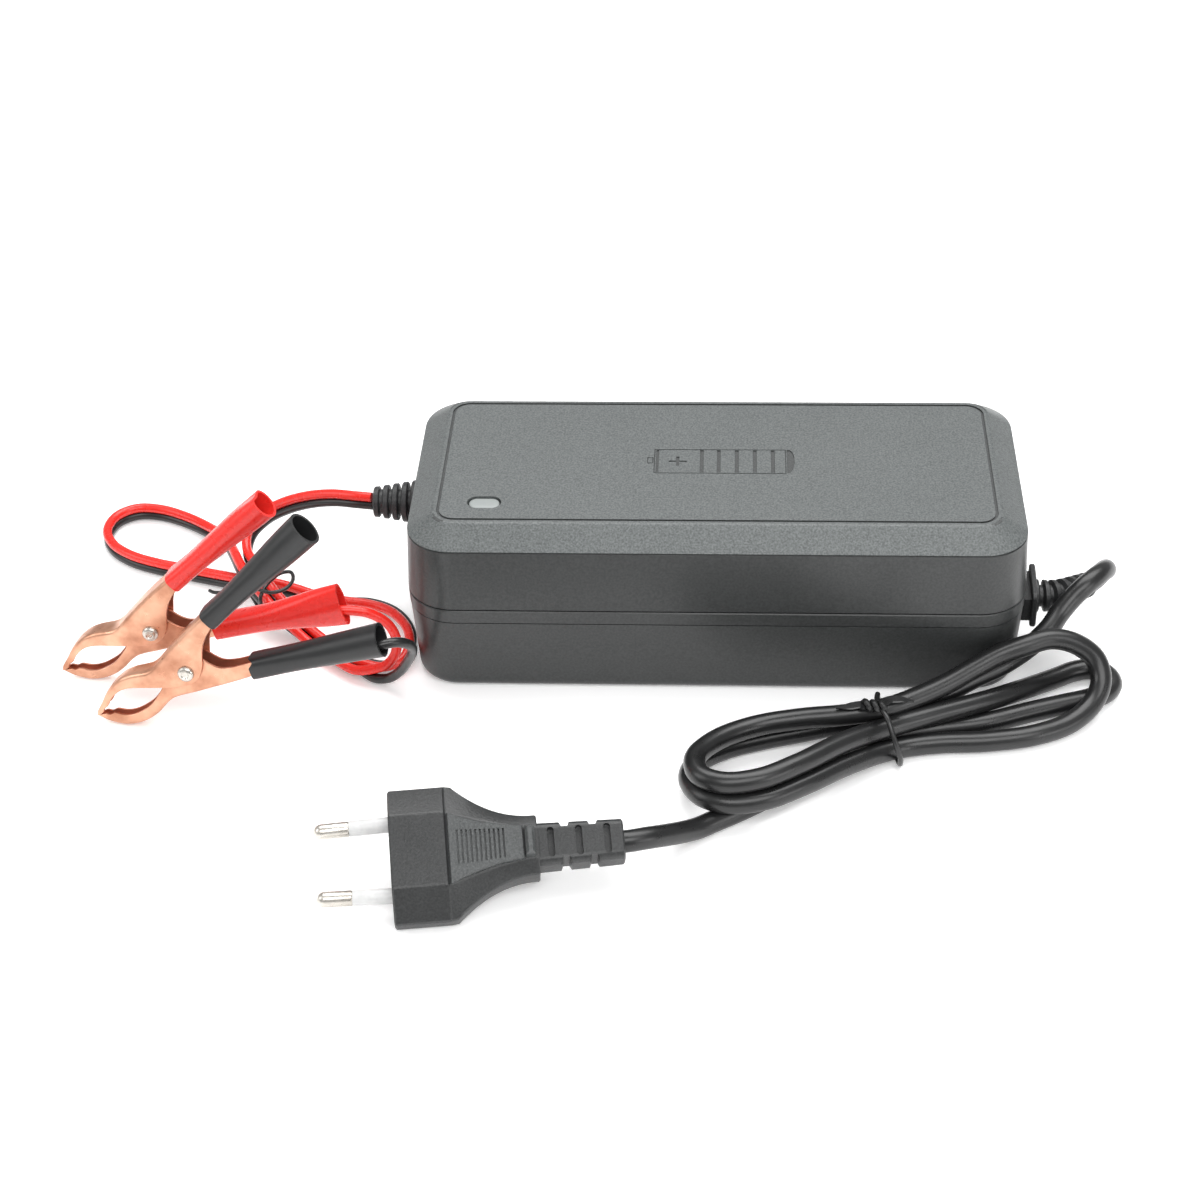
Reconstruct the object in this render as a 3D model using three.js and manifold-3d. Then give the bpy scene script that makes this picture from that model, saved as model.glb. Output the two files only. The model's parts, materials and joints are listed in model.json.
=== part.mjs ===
// Car battery charger: a switch-mode supply in a two-shell case, a tied mains lead with a flat
// two-pin plug, and a tied twin low-voltage lead that ends in two spring clips.
// Millimetres, +Z up. X runs along the case and -Y is its front. The origin is on the floor
// under the middle of the case.
import * as THREE from "three";
import { mergeVertices } from "three/addons/utils/BufferGeometryUtils.js";
import Module from "manifold-3d";

const wasm = await Module();
wasm.setup();

// Driving dimensions
const GAP = 0.3; // between touching pieces
const WALL = 2.2; // moulded walls of both shells
const CASE = {
  length: 168, // at the foot of the chamfer
  depth: 75.2,
  height: 52,
  cornerRadius: 12.7,
  partingZ: 28,
  chamferFootZ: 47.2,
  chamferInset: 7.1,
  partingFlare: 0.9, // how far each side stands out at the parting line
  footInset: 0.8,
  footRadius: 3,
};
const PANEL_GROOVE = { inset: 8.4, radius: 5, width: 0.8, depth: 0.5 };
const LED = { x: -63, y: -20.9, length: 9.3, width: 5.6, lensGap: 0.35 };
const SCREW = { x: 74.5, y: 26.5, head: 2.8, shaft: 1.4, length: 30, post: 3.8 };
const BOARD = { length: 138, depth: 60, thickness: 1.6, z: 9 };
const BOARD_TOP = BOARD.z + BOARD.thickness + GAP;
// The leads, their strain reliefs, the plug and the clips are laid out in a group of their own
const LAID_SHIFT = -1.6; // that group's place along Y
const AC_EXIT = { y: -14, z: 17.7 };
const DC_EXIT = { y: 8, z: 33 };
const MAINS_CORD = 5.8; // outer diameter
const TWIN_CORE = 2.8; // diameter of each core of the low-voltage lead
const CORE_OFFSET = 1.55; // each core's height above or below the middle of the twin lead
const PLUG = {
  face: new THREE.Vector3(-80.34, -117.21, 10.66),
  heading: 7.88, // degrees from +X, from the pins to the cord
  roll: 29.7, // degrees, so that a side facet lies on the floor
  halfWidth: 17.65,
  halfThickness: 6.85,
  halfFace: 9.5,
  halfEdge: 2.2,
  bodyLength: 37,
  length: 58.6,
};
const PIN = { radius: 2, length: 19, sleeve: 10, baseSpacing: 18.6, tipSpacing: 17.5 };
const CLIP = {
  sheet: 0.7,
  upperHalfWidth: 3.8,
  lowerHalfWidth: 2.8,
  rivetHole: 1.5,
  rivetShaft: 1.2,
  rivetHead: 2.1,
  springWire: 0.8,
};
const CLIP_POSES = {
  black: { rivet: [-142.3, -51.4, 19.1], yaw: -5.7, lean: 10, incline: 31.7 },
  red: { rivet: [-156, -32.4, 18.3], yaw: -4, lean: 5.6, incline: 29.3 },
};

// The mains lead, from the strain relief to the plug
const MAINS_FIRST_RUN = [
  [104.95, -4.85, 14.9], [106, -3.8, 14.8], [107.9, -2.4, 15.6], [109.4, -2.8, 18.2], [109.2, -7, 21.8],
  [106.4, -12.2, 23.8], [102.7, -16, 23.2], [98.5, -19, 20.4], [95, -22.2, 17.6], [92, -26, 15.4],
];
const MAINS_LAST_RUN = [
  [-3.6, -95.8, 3.4], [-7, -98.8, 4.8], [-11.6, -103, 7.4], [-16.4, -106.8, 9.8], [-21, -108.9, 10.6],
];
// The twin lead's middle line: strain relief, tie, right loop, tie, left loop, tie, split
const TWIN_RUN = [
  [-98.6, 8.2, 33], [-103.5, 9.2, 32.8], [-110, 11.8, 31.6], [-118, 15.2, 28.6], [-127, 19.2, 23.2],
  [-134, 21, 17.8], [-138, 19, 13.4], [-138.2, 13.6, 10.9], [-135.4, 7.6, 10.4], [-131.6, 1, 10.4],
  [-127.2, -5.4, 9.2], [-122.6, -9.8, 6.8], [-117.8, -13.4, 4.2], [-111.5, -18.4, 3.1], [-105, -23.6, 3.1],
  [-98.8, -28, 3.1], [-93, -29.4, 3.1], [-89, -27.2, 3.1], [-87, -22.2, 3.1], [-87.2, -15.5, 3.1],
  [-89.8, -8.9, 3.1], [-94.4, -3.4, 3.1], [-101, -0.2, 3.1], [-108.7, 0.4, 3.1], [-116, 1.6, 3.3],
  [-122.4, 3.6, 3.7], [-128.5, 5.4, 4], [-135, 6.8, 4], [-141.6, 8.6, 3.6], [-148.6, 11, 3.2],
  [-157, 13.6, 3.1], [-166, 16.2, 3.1], [-175.2, 20.2, 3.1], [-182, 26, 3.1], [-185.2, 33.2, 3.1],
  [-183.8, 40.6, 3.1], [-178.4, 44.8, 3.1], [-171, 44.4, 3.1], [-162, 40.4, 3.1], [-153.4, 33.6, 3.8],
  [-147, 25, 6.4], [-142.8, 15, 9.6], [-139.2, 6.6, 10.4], [-134.6, -2, 10.4], [-129.6, -8.4, 9.2],
  [-124.6, -13, 6.8], [-119, -16.8, 4.2], [-113, -21.4, 3.1], [-106.6, -26.8, 3.1], [-100.2, -31.4, 3.1],
];
const RED_TAIL = [
  [-95.2, -33.6, 4.9], [-91.6, -33.6, 6.4], [-89, -33, 9.8], [-88.3, -32.8, 14.8], [-90.2, -33.3, 20.6],
  [-94.4, -34.3, 24.8], [-99, -35, 26.4], [-104, -35.4, 26.7], [-112, -35.4, 25.6],
];
const BLACK_TAIL = [
  [-95.4, -33.8, 1.8], [-91.2, -35.4, 3], [-87.4, -37.6, 7.2], [-84.2, -41.2, 14], [-82, -45.6, 21],
  [-82.2, -50, 26.6], [-85, -53, 29.6], [-88.6, -54.4, 29.8], [-93, -54.6, 28.5], [-99, -54.6, 27],
];

// Finishes
function finish(color, roughness, metalness = 0) {
  return new THREE.MeshStandardMaterial({ color, roughness, metalness });
}
const CHARCOAL = finish(0x4c4f4f, 0.6);
const BLACK_RUBBER = finish(0x2b2c2d, 0.5);
const RED_PVC = finish(0xd8322a, 0.4);
const COPPER_PLATE = finish(0xd79a78, 0.35, 0.8);
const STEEL = finish(0xb9bcbe, 0.3, 1);
const PLUG_GREY = finish(0x55585a, 0.65);
const WHITE_PLASTIC = finish(0xf0f0ee, 0.4);
const LENS = finish(0xc9cfcd, 0.25);
const BOARD_GREEN = finish(0x1e5a35, 0.5);
const FERRITE = finish(0x2e2c2b, 0.7);
const ALUMINIUM = finish(0xa9adb0, 0.4, 1);
const TAPE_YELLOW = finish(0xd9b02c, 0.5);
const CAN_BLUE = finish(0x22384f, 0.4);
const CERAMIC = finish(0x2d6f9f, 0.5);
const EPOXY = finish(0x1c1c1d, 0.55);
const GLASS = finish(0xd8dcd8, 0.15);
const ENAMELLED_COPPER = finish(0xa8562a, 0.35, 0.6);
const FISH_PAPER = finish(0xe3ddc8, 0.8);

const charger = new THREE.Group();
const laid = new THREE.Group();
laid.position.y = LAID_SHIFT;
charger.add(laid);

// Solids
function toSolid(geometry) {
  const bare = geometry.clone();
  bare.deleteAttribute("normal");
  bare.deleteAttribute("uv");
  const merged = mergeVertices(bare, 1e-4);
  return new wasm.Manifold(
    new wasm.Mesh({
      numProp: 3,
      vertProperties: merged.attributes.position.array,
      triVerts: new Uint32Array(merged.index.array),
    }),
  );
}

function toGeometry(solid) {
  const mesh = solid.getMesh();
  const geometry = new THREE.BufferGeometry();
  geometry.setAttribute("position", new THREE.BufferAttribute(mesh.vertProperties, 3));
  geometry.setIndex(new THREE.BufferAttribute(mesh.triVerts, 1));
  geometry.computeVertexNormals();
  return geometry;
}

function join(...geometries) {
  return toGeometry(geometries.map(toSolid).reduce((a, b) => a.add(b)));
}

function cut(geometry, ...tools) {
  return toGeometry(tools.map(toSolid).reduce((a, b) => a.subtract(b), toSolid(geometry)));
}

function add(name, geometry, material, parent = charger) {
  const mesh = new THREE.Mesh(geometry, material);
  mesh.name = name;
  parent.add(mesh);
  return mesh;
}

// Rings of equal count, joined into one closed body
function loft(rings) {
  const count = rings[0].length;
  const index = [];
  for (let ring = 0; ring < rings.length - 1; ring++) {
    for (let i = 0; i < count; i++) {
      const a = ring * count + i;
      const b = ring * count + ((i + 1) % count);
      index.push(a, b, b + count, a, b + count, a + count);
    }
  }
  const last = (rings.length - 1) * count;
  for (let i = 1; i < count - 1; i++) {
    index.push(0, i + 1, i, last, last + i, last + i + 1);
  }
  const geometry = new THREE.BufferGeometry().setFromPoints(rings.flat());
  geometry.setIndex(index);
  return geometry;
}

function box(x, y, z, length, depth, height) {
  return new THREE.BoxGeometry(length, depth, height).translate(x, y, z + height / 2);
}

function rod(x, y, z, radius, height, sides = 16) {
  return new THREE.CylinderGeometry(radius, radius, height, sides)
    .rotateX(Math.PI / 2)
    .translate(x, y, z + height / 2);
}

// A profile of [radius, height] points turned round the Z axis through (x, y)
function turned(profile, sides = 20) {
  const points = profile.map(([radius, height]) => new THREE.Vector2(radius, height));
  return new THREE.LatheGeometry(points, sides).rotateX(Math.PI / 2);
}

// An outline in the XZ plane, given a width along Y
function plate(points, halfWidth) {
  const shape = new THREE.Shape(points.map(([x, z]) => new THREE.Vector2(x, z)));
  return new THREE.ExtrudeGeometry(shape, { depth: 2 * halfWidth, bevelEnabled: false })
    .rotateX(Math.PI / 2)
    .translate(0, halfWidth, 0);
}

function circle(radius, sides) {
  const shape = new THREE.Shape();
  for (let i = 0; i < sides; i++) {
    const angle = (2 * Math.PI * i) / sides;
    const [x, y] = [radius * Math.cos(angle), radius * Math.sin(angle)];
    if (i === 0) shape.moveTo(x, y);
    else shape.lineTo(x, y);
  }
  shape.closePath();
  return shape;
}

function cordTube(points, diameter, sides, steps) {
  const path = new THREE.CatmullRomCurve3(points.map((p) => new THREE.Vector3(...p)), false, "centripetal");
  return new THREE.ExtrudeGeometry(circle(diameter / 2, sides), { extrudePath: path, steps });
}

// Round sections of the given radii, square to a line of points
function sweep(points, radii, sides) {
  const line = points.map((p) => new THREE.Vector3(...p));
  const up = new THREE.Vector3(0, 0, 1);
  const rings = line.map((centre, i) => {
    const before = line[Math.max(i - 1, 0)];
    const after = line[Math.min(i + 1, line.length - 1)];
    const along = after.clone().sub(before).normalize();
    const side = along.clone().cross(up).normalize();
    const rise = along.clone().cross(side);
    return Array.from({ length: sides }, (_, k) => {
      const angle = (2 * Math.PI * k) / sides;
      return centre
        .clone()
        .addScaledVector(side, radii[i] * Math.cos(angle))
        .addScaledVector(rise, radii[i] * Math.sin(angle));
    });
  });
  return loft(rings);
}

// Case
function roundedRing(halfLength, halfDepth, radius, z) {
  const arcSteps = 4;
  const corners = [[1, -1, -90], [1, 1, 0], [-1, 1, 90], [-1, -1, 180]];
  return corners.flatMap(([sx, sy, start]) =>
    Array.from({ length: arcSteps + 1 }, (_, k) => {
      const angle = THREE.MathUtils.degToRad(start + (90 * k) / arcSteps);
      return new THREE.Vector3(
        sx * (halfLength - radius) + radius * Math.cos(angle),
        sy * (halfDepth - radius) + radius * Math.sin(angle),
        z,
      );
    }),
  );
}

// The outer outline at a height, moved inwards by an inset
function caseRing(z, outset, inset = 0) {
  const radius = Math.max(CASE.cornerRadius + outset - inset, 1);
  return roundedRing(CASE.length / 2 + outset - inset, CASE.depth / 2 + outset - inset, radius, z);
}

function wallOutset(z) {
  if (z <= CASE.partingZ) {
    return THREE.MathUtils.lerp(-CASE.footInset, CASE.partingFlare, z / CASE.partingZ);
  }
  const rise = (z - CASE.partingZ) / (CASE.chamferFootZ - CASE.partingZ);
  return CASE.partingFlare * (1 - rise);
}

function screwPlaces() {
  return [-1, 1].flatMap((sx) => [-1, 1].map((sy) => [sx * SCREW.x, sy * SCREW.y]));
}

function baseShell() {
  const rim = CASE.partingZ - GAP / 2;
  const foot = CASE.footRadius;
  const outer = [
    caseRing(0, wallOutset(0) - foot),
    caseRing(foot * 0.3, wallOutset(0) - foot * 0.3),
    caseRing(foot, wallOutset(foot)),
    caseRing(rim, wallOutset(rim)),
  ];
  const ledge = rim - 2;
  const cavity = [
    caseRing(WALL, wallOutset(WALL), WALL + 1),
    caseRing(foot + 1, wallOutset(foot + 1), WALL),
    caseRing(ledge, wallOutset(ledge), WALL),
    caseRing(ledge + 0.01, wallOutset(ledge), WALL / 2),
    caseRing(rim + 1, wallOutset(rim), WALL / 2),
  ];
  const posts = screwPlaces().map(([x, y]) => rod(x, y, WALL - 1, SCREW.post, rim - WALL - 1));
  const boardPosts = boardScrewPlaces().map(([x, y]) => rod(x, y, WALL - 1, 3, BOARD.z - GAP - WALL + 1));
  const holes = screwPlaces().flatMap(([x, y]) => [
    rod(x, y, -1, SCREW.shaft + GAP, rim + 2),
    rod(x, y, -1, SCREW.head + GAP, 4),
  ]);
  const pilots = boardScrewPlaces().map(([x, y]) => rod(x, y, WALL, 1.3, BOARD.z));
  const mainsHole = box(CASE.length / 2, AC_EXIT.y + LAID_SHIFT, AC_EXIT.z - 4.2, 12, 14.4, 8.4);
  const shell = cut(loft(outer), loft(cavity));
  return cut(join(shell, ...posts, ...boardPosts), ...holes, ...pilots, mainsHole);
}

function topCover() {
  const rim = CASE.partingZ + GAP / 2;
  const foot = CASE.chamferFootZ;
  const inset = CASE.chamferInset;
  const outer = [
    caseRing(rim, wallOutset(rim)),
    caseRing(foot - 0.7, wallOutset(foot - 0.7)),
    caseRing(foot + 0.3, -0.6),
    caseRing(CASE.height - 0.5, -inset + 0.5),
    caseRing(CASE.height, -inset - 0.4),
  ];
  const tongue = [
    caseRing(rim - 1.8, wallOutset(rim), WALL / 2 + GAP),
    caseRing(rim + 2, wallOutset(rim), WALL / 2 + GAP),
  ];
  const cavity = [
    caseRing(rim - 3, wallOutset(rim), WALL),
    caseRing(foot - 1.2, wallOutset(foot), WALL),
    caseRing(CASE.height - WALL, -inset, WALL - 0.6),
  ];
  const { inset: groove, radius, width, depth } = PANEL_GROOVE;
  const grooveOuter = [CASE.height - depth, CASE.height + 1].map((z) =>
    roundedRing(CASE.length / 2 - groove, CASE.depth / 2 - groove, radius, z),
  );
  const grooveInner = [CASE.height - depth - 1, CASE.height + 2].map((z) =>
    roundedRing(CASE.length / 2 - groove - width, CASE.depth / 2 - groove - width, radius - width, z),
  );
  const postHeight = CASE.height - WALL / 2 - rim - 0.1;
  const posts = screwPlaces().map(([x, y]) => rod(x, y, rim + 0.1, SCREW.post, postHeight));
  const pilots = screwPlaces().map(([x, y]) => rod(x, y, rim - 1, SCREW.shaft + GAP, 12));
  const lampHole = stadium(LED.length, LED.width, CASE.height - 4, 6);
  const leadHole = new THREE.CylinderGeometry(4.6, 4.6, 14, 20)
    .rotateZ(Math.PI / 2)
    .translate(-CASE.length / 2, DC_EXIT.y + LAID_SHIFT, DC_EXIT.z);
  const shell = cut(join(loft(outer), loft(tongue)), loft(cavity));
  const ring = cut(loft(grooveOuter), loft(grooveInner));
  return cut(join(shell, ...posts), ...pilots, ring, lampHole, leadHole);
}

// A round-ended slot shape over the lamp
function stadium(length, width, z, height) {
  const ledPlace = new THREE.Vector3(LED.x, LED.y, 0);
  const sections = [z, z + height].map((level) =>
    roundedRing(length / 2, width / 2, width / 2 - 0.01, level).map((p) => p.add(ledPlace)),
  );
  return loft(sections);
}

function ledWindow() {
  const { length, width, lensGap } = LED;
  const lens = stadium(length - 2 * lensGap, width - 2 * lensGap, CASE.height - WALL - 1, WALL + 0.7);
  const flange = stadium(length + 2.4, width + 2.4, CASE.height - WALL - 1.4 - GAP, 1.2);
  return join(lens, flange);
}

function caseScrew() {
  const { head, shaft, length } = SCREW;
  return turned([
    [0, 0.6],
    [head * 0.55, 0.6],
    [head, 1.2],
    [head, 2.6],
    [shaft, 2.8],
    [shaft, length - 1.5],
    [0, length],
  ], 12);
}

// Strain reliefs
function acStrainRelief() {
  const { y, z } = AC_EXIT;
  const wall = CASE.length / 2;
  const lip = box(wall - 3.6, y, z - 3.4, 1.2, 15.6, 6.8);
  const stub = box(wall + 0.3, y, z - 3.6, 7.2, 13.4, 7.2);
  const flange = box(wall + 4.3, y, z - 4.5, 2, 17.4, 9);
  const line = [
    [88, -14, 17.7], [90.8, -14, 17.7], [91.2, -14, 17.7], [92.6, -13.9, 17.7], [93, -13.8, 17.7],
    [93.9, -13.6, 17.6], [94.3, -13.5, 17.6], [95.7, -12.9, 17.5], [96.1, -12.7, 17.4], [97, -12.2, 17.3],
    [97.4, -12, 17.2], [98.7, -11, 17], [99.1, -10.7, 16.9], [100, -9.9, 16.6], [100.4, -9.5, 16.5],
    [101.6, -8.3, 16.1], [102, -7.9, 16], [102.8, -7.1, 15.7], [103.2, -6.7, 15.6], [104.6, -5.2, 15.1],
  ];
  const core = 3.3;
  const radii = line.map((_, i) => {
    const taper = THREE.MathUtils.lerp(4.9, 3.7, i / (line.length - 1));
    return i < 2 || i % 4 < 2 ? core + 0.2 : taper;
  });
  return join(lip, stub, flange, sweep(line, radii, 12));
}

function dcStrainRelief() {
  const { y, z } = DC_EXIT;
  const ribs = 5;
  const pitch = 2.75;
  const wall = -CASE.length / 2 - CASE.partingFlare;
  const profile = [[0, -4.8], [6, -4.8], [6, -3.1], [4.2, -3.1], [4.2, GAP]];
  for (let i = 0; i < ribs; i++) {
    const start = GAP + i * pitch;
    const radius = THREE.MathUtils.lerp(6.3, 4.6, i / (ribs - 1));
    profile.push([radius, start], [radius - 0.15, start + 1.6], [3.9, start + 1.6], [3.9, start + pitch]);
  }
  profile.splice(-1, 1, [0, GAP + (ribs - 1) * pitch + 1.6]);
  profile.splice(-2, 1);
  return turned(profile, 14).rotateY(-Math.PI / 2).translate(wall, y, z);
}

// Circuit board and what stands on it
function boardScrewPlaces() {
  return [[-56, 0], [52, -8]];
}

function boardScrew() {
  const z = BOARD_TOP;
  const shaft = [[0, z - 5.4], [1, z - 5.4], [1, z]];
  return turned([...shaft, [2.6, z], [2.6, z + 1.2], [1.6, z + 1.8], [0, z + 1.8]], 12);
}

function circuitBoard() {
  const board = box(0, 0, BOARD.z, BOARD.length, BOARD.depth, BOARD.thickness);
  const holes = boardScrewPlaces().map(([x, y]) => rod(x, y, BOARD.z - 1, 1.5, 4));
  return cut(board, ...holes);
}

function insulatingSheet() {
  const sheet = box(0, 0, BOARD.z - 3.2, BOARD.length - 8, BOARD.depth - 6, 0.4);
  const holes = boardScrewPlaces().map(([x, y]) => rod(x, y, BOARD.z - 4, 3 + GAP, 4));
  return cut(sheet, ...holes);
}

function mainsFuse(x, y) {
  const barrel = new THREE.CylinderGeometry(2.6, 2.6, 20, 16)
    .rotateZ(Math.PI / 2)
    .translate(x, y, BOARD_TOP + 4);
  const legs = [-9, 9].map((dx) => box(x + dx, y, BOARD_TOP, 0.8, 3, 3));
  return join(barrel, ...legs);
}

function disc(x, y, radius, thickness) {
  const body = new THREE.CylinderGeometry(radius, radius, thickness, 20)
    .translate(x, y, BOARD_TOP + radius + 3);
  const legs = [-2.5, 2.5].map((dx) => rod(x + dx, y, BOARD_TOP, 0.4, 5, 6));
  return join(body, ...legs);
}

function toroidWinding(x, y, radius, section) {
  return new THREE.TorusGeometry(radius, section, 8, 16)
    .rotateX(Math.PI / 2)
    .translate(x, y, BOARD_TOP + radius + section);
}

function capacitorCan(x, y, radius, height) {
  const waist = radius - 0.5;
  return turned([
    [0, 0],
    [radius, 0],
    [radius, 1.6],
    [waist, 2.1],
    [radius, 2.6],
    [radius, height - 0.6],
    [radius - 0.6, height],
    [0, height],
  ]).translate(x, y, BOARD_TOP);
}

function heatsink(x, y, length, height) {
  const spine = box(x, y, BOARD_TOP, length, 2, height);
  const fins = Array.from({ length: 5 }, (_, i) =>
    box(x - length / 2 + 1.5 + (i * (length - 3)) / 4, y + 4, BOARD_TOP, 1.4, 7, height),
  );
  return join(spine, ...fins);
}

// A flat transistor or diode package with three legs, screwed flat to a heatsink
function powerPackage(x, y) {
  const body = box(x, y, BOARD_TOP + 6, 10, 4.4, 9);
  const tab = box(x, y + 1.5, BOARD_TOP + 14, 10, 1.4, 6);
  const legs = [-2.5, 0, 2.5].map((dx) => box(x + dx, y, BOARD_TOP, 0.9, 0.7, 7));
  return join(body, tab, ...legs);
}

function transformerCore(x, y) {
  const outside = box(x, y, BOARD_TOP + 3, 33, 11, 28);
  const windows = [-7.6, 7.6].map((dx) => box(x + dx, y, BOARD_TOP + 7, 7, 13, 20));
  return cut(outside, ...windows);
}

// Tape-wrapped coils round the core's middle leg
function transformerWinding(x, y) {
  const coil = box(x, y, BOARD_TOP + 7 + GAP, 21, 24, 19.4);
  const middleLeg = box(x, y, BOARD_TOP + 3, 8.8, 11.6, 30);
  const foot = box(x, y - 9, BOARD_TOP, 20, 4, 8);
  return cut(join(coil, foot), middleLeg);
}

function statusLed() {
  const dome = turned([
    [0, 28],
    [2.9, 28],
    [2.9, 29],
    [2.5, 29],
    [2.5, 33.5],
    [1.8, 35.4],
    [0, 36.2],
  ], 16).translate(LED.x, LED.y, BOARD_TOP);
  const legs = [-1.27, 1.27].map((dx) => box(LED.x + dx, LED.y, BOARD_TOP, 0.6, 0.6, 29));
  return join(dome, ...legs);
}

function addBoard() {
  add("circuit_board", circuitBoard(), BOARD_GREEN);
  add("insulating_sheet", insulatingSheet(), FISH_PAPER);
  boardScrewPlaces().forEach(([x, y], i) => {
    add(`board_screw_${i + 1}`, boardScrew().translate(x, y, 0), STEEL);
  });
  add("mains_fuse", mainsFuse(56, 20), GLASS);
  add("inrush_thermistor", disc(61, 9, 5.5, 4), CERAMIC);
  add("x_capacitor", box(57, -20, BOARD_TOP, 18, 8, 15), TAPE_YELLOW);
  add("common_mode_choke", toroidWinding(37, -17, 6.5, 3.2), ENAMELLED_COPPER);
  add("bridge_rectifier", box(36, 21, BOARD_TOP, 15, 4, 16), EPOXY);
  add("bulk_capacitor", capacitorCan(36, 4, 9, 30), CAN_BLUE);
  add("primary_heatsink", heatsink(10, 17, 30, 26), ALUMINIUM);
  add("switching_transistor", powerPackage(8, 12.4), EPOXY);
  add("transformer_core", transformerCore(4, -9), FERRITE);
  add("transformer_winding", transformerWinding(4, -9), TAPE_YELLOW);
  add("y_capacitor", disc(-20, 8, 4, 3), CERAMIC);
  add("optocoupler", box(-20, 0, BOARD_TOP, 6.5, 4.6, 3.5), EPOXY);
  add("control_chip", box(24, -24, BOARD_TOP, 9.8, 6.4, 3.3), EPOXY);
  add("output_heatsink", heatsink(-32, 18, 24, 24), ALUMINIUM);
  add("output_diode", powerPackage(-32, 13.4), EPOXY);
  add("output_capacitor_1", capacitorCan(-30, -12, 6.3, 25), CAN_BLUE);
  add("output_capacitor_2", capacitorCan(-44, -12, 6.3, 25), CAN_BLUE);
  add("output_inductor", toroidWinding(-56, 16, 7, 3.5), ENAMELLED_COPPER);
  add("status_led", statusLed(), LENS);
}

function addCase() {
  add("base_shell", baseShell(), CHARCOAL);
  add("top_cover", topCover(), CHARCOAL);
  add("led_window", ledWindow(), LENS);
  screwPlaces().forEach(([x, y], i) => {
    add(`case_screw_${i + 1}`, caseScrew(), STEEL).position.set(x, y, 0);
  });
  add("ac_strain_relief", acStrainRelief(), BLACK_RUBBER, laid);
  add("dc_strain_relief", dcStrainRelief(), BLACK_RUBBER, laid);
}

// Mains lead: the tied hank is one plain body, narrow where the tie holds it
function mainsHank() {
  const outline = new THREE.Shape();
  outline.moveTo(44, -66);
  outline.bezierCurveTo(60, -64.5, 76, -62.5, 88, -60);
  outline.bezierCurveTo(101, -57, 110, -46, 109, -36);
  outline.bezierCurveTo(108, -28, 98, -29.5, 90.4, -31);
  outline.lineTo(81, -37.5);
  outline.bezierCurveTo(70, -41, 58, -47, 48, -51.5);
  outline.bezierCurveTo(34, -54, 22, -55, 10, -57.5);
  outline.bezierCurveTo(-4, -61, -10, -72, -8.6, -82);
  outline.bezierCurveTo(-6, -95, 8, -97, 18, -90.5);
  outline.bezierCurveTo(28, -84, 36, -72, 44, -66);
  return new THREE.ExtrudeGeometry(outline, { depth: 13, bevelEnabled: false, curveSegments: 5 })
    .translate(0, 0, 1.8);
}

function mainsTie() {
  const loop = [
    [52, -49.2, 17.5], [48.4, -50, 16.6], [46, -49.8, 13], [45.6, -50.1, 3], [45.2, -52.4, 1],
    [44.2, -58, 0.9], [43, -65.4, 1], [42, -69.6, 2.6], [41.8, -70, 12], [42.4, -68.4, 15.6],
    [43.4, -65, 16.3], [44.6, -58, 16.3], [46.6, -52.6, 17.6], [42, -52.4, 18.4], [38, -53.2, 17],
  ];
  return cordTube(loop, 1.1, 6, 34);
}

// The plug, drawn along X from its pin face to its cord end
function plugSection(x, halfFace, halfThickness, halfWidth, halfEdge) {
  const [f, t, w, e] = [halfFace, halfThickness, halfWidth, halfEdge];
  const corners = [[w, -e], [w, e], [f, t], [-f, t], [-w, e], [-w, -e], [-f, -t], [f, -t]];
  return corners.map(([y, z]) => new THREE.Vector3(x, y, z));
}

function plugBody() {
  const { halfFace: f, halfThickness: t, halfWidth: w, halfEdge: e, bodyLength, length } = PLUG;
  return loft([
    plugSection(0, f - 0.5, t - 0.4, w - 0.5, e - 0.3),
    plugSection(0.6, f, t, w, e),
    plugSection(16.2, f, t, w, e),
    plugSection(18.2, f - 1.6, t, w - 3, e + 0.3),
    plugSection(22, f - 3.2, t, w - 6.4, e + 0.9),
    plugSection(27, f - 4.4, t - 0.2, w - 8.6, e + 1.4),
    plugSection(bodyLength, f - 5.4, t - 0.6, w - 10, e + 1.8),
    plugSection(bodyLength + 0.1, 3.2, 5.4, 5.9, 3),
    plugSection(length, 2.9, 4.8, 5.3, 2.6),
  ]);
}

function pinMatrix(side) {
  const lean = Math.atan2((PIN.baseSpacing - PIN.tipSpacing) / 2, PIN.length);
  return new THREE.Matrix4()
    .makeTranslation(-GAP, (side * PIN.baseSpacing) / 2, 0)
    .multiply(new THREE.Matrix4().makeRotationZ(Math.PI + side * lean))
    .multiply(new THREE.Matrix4().makeRotationY(Math.PI / 2));
}

function plugPin(side) {
  const { radius: r, length, sleeve } = PIN;
  return turned([
    [0, 0],
    [r - 0.6, 0],
    [r - 0.6, sleeve],
    [r, sleeve + GAP],
    [r, length - 1.4],
    [r - 0.7, length - 0.3],
    [0, length],
  ], 12).applyMatrix4(pinMatrix(side));
}

function pinSleeve(side) {
  const { radius: r, sleeve } = PIN;
  return turned([
    [r - 0.3, 0],
    [r, 0],
    [r, sleeve - GAP],
    [r - 0.3, sleeve - GAP],
    [r - 0.3, 0],
  ], 12).applyMatrix4(pinMatrix(side));
}

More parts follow.
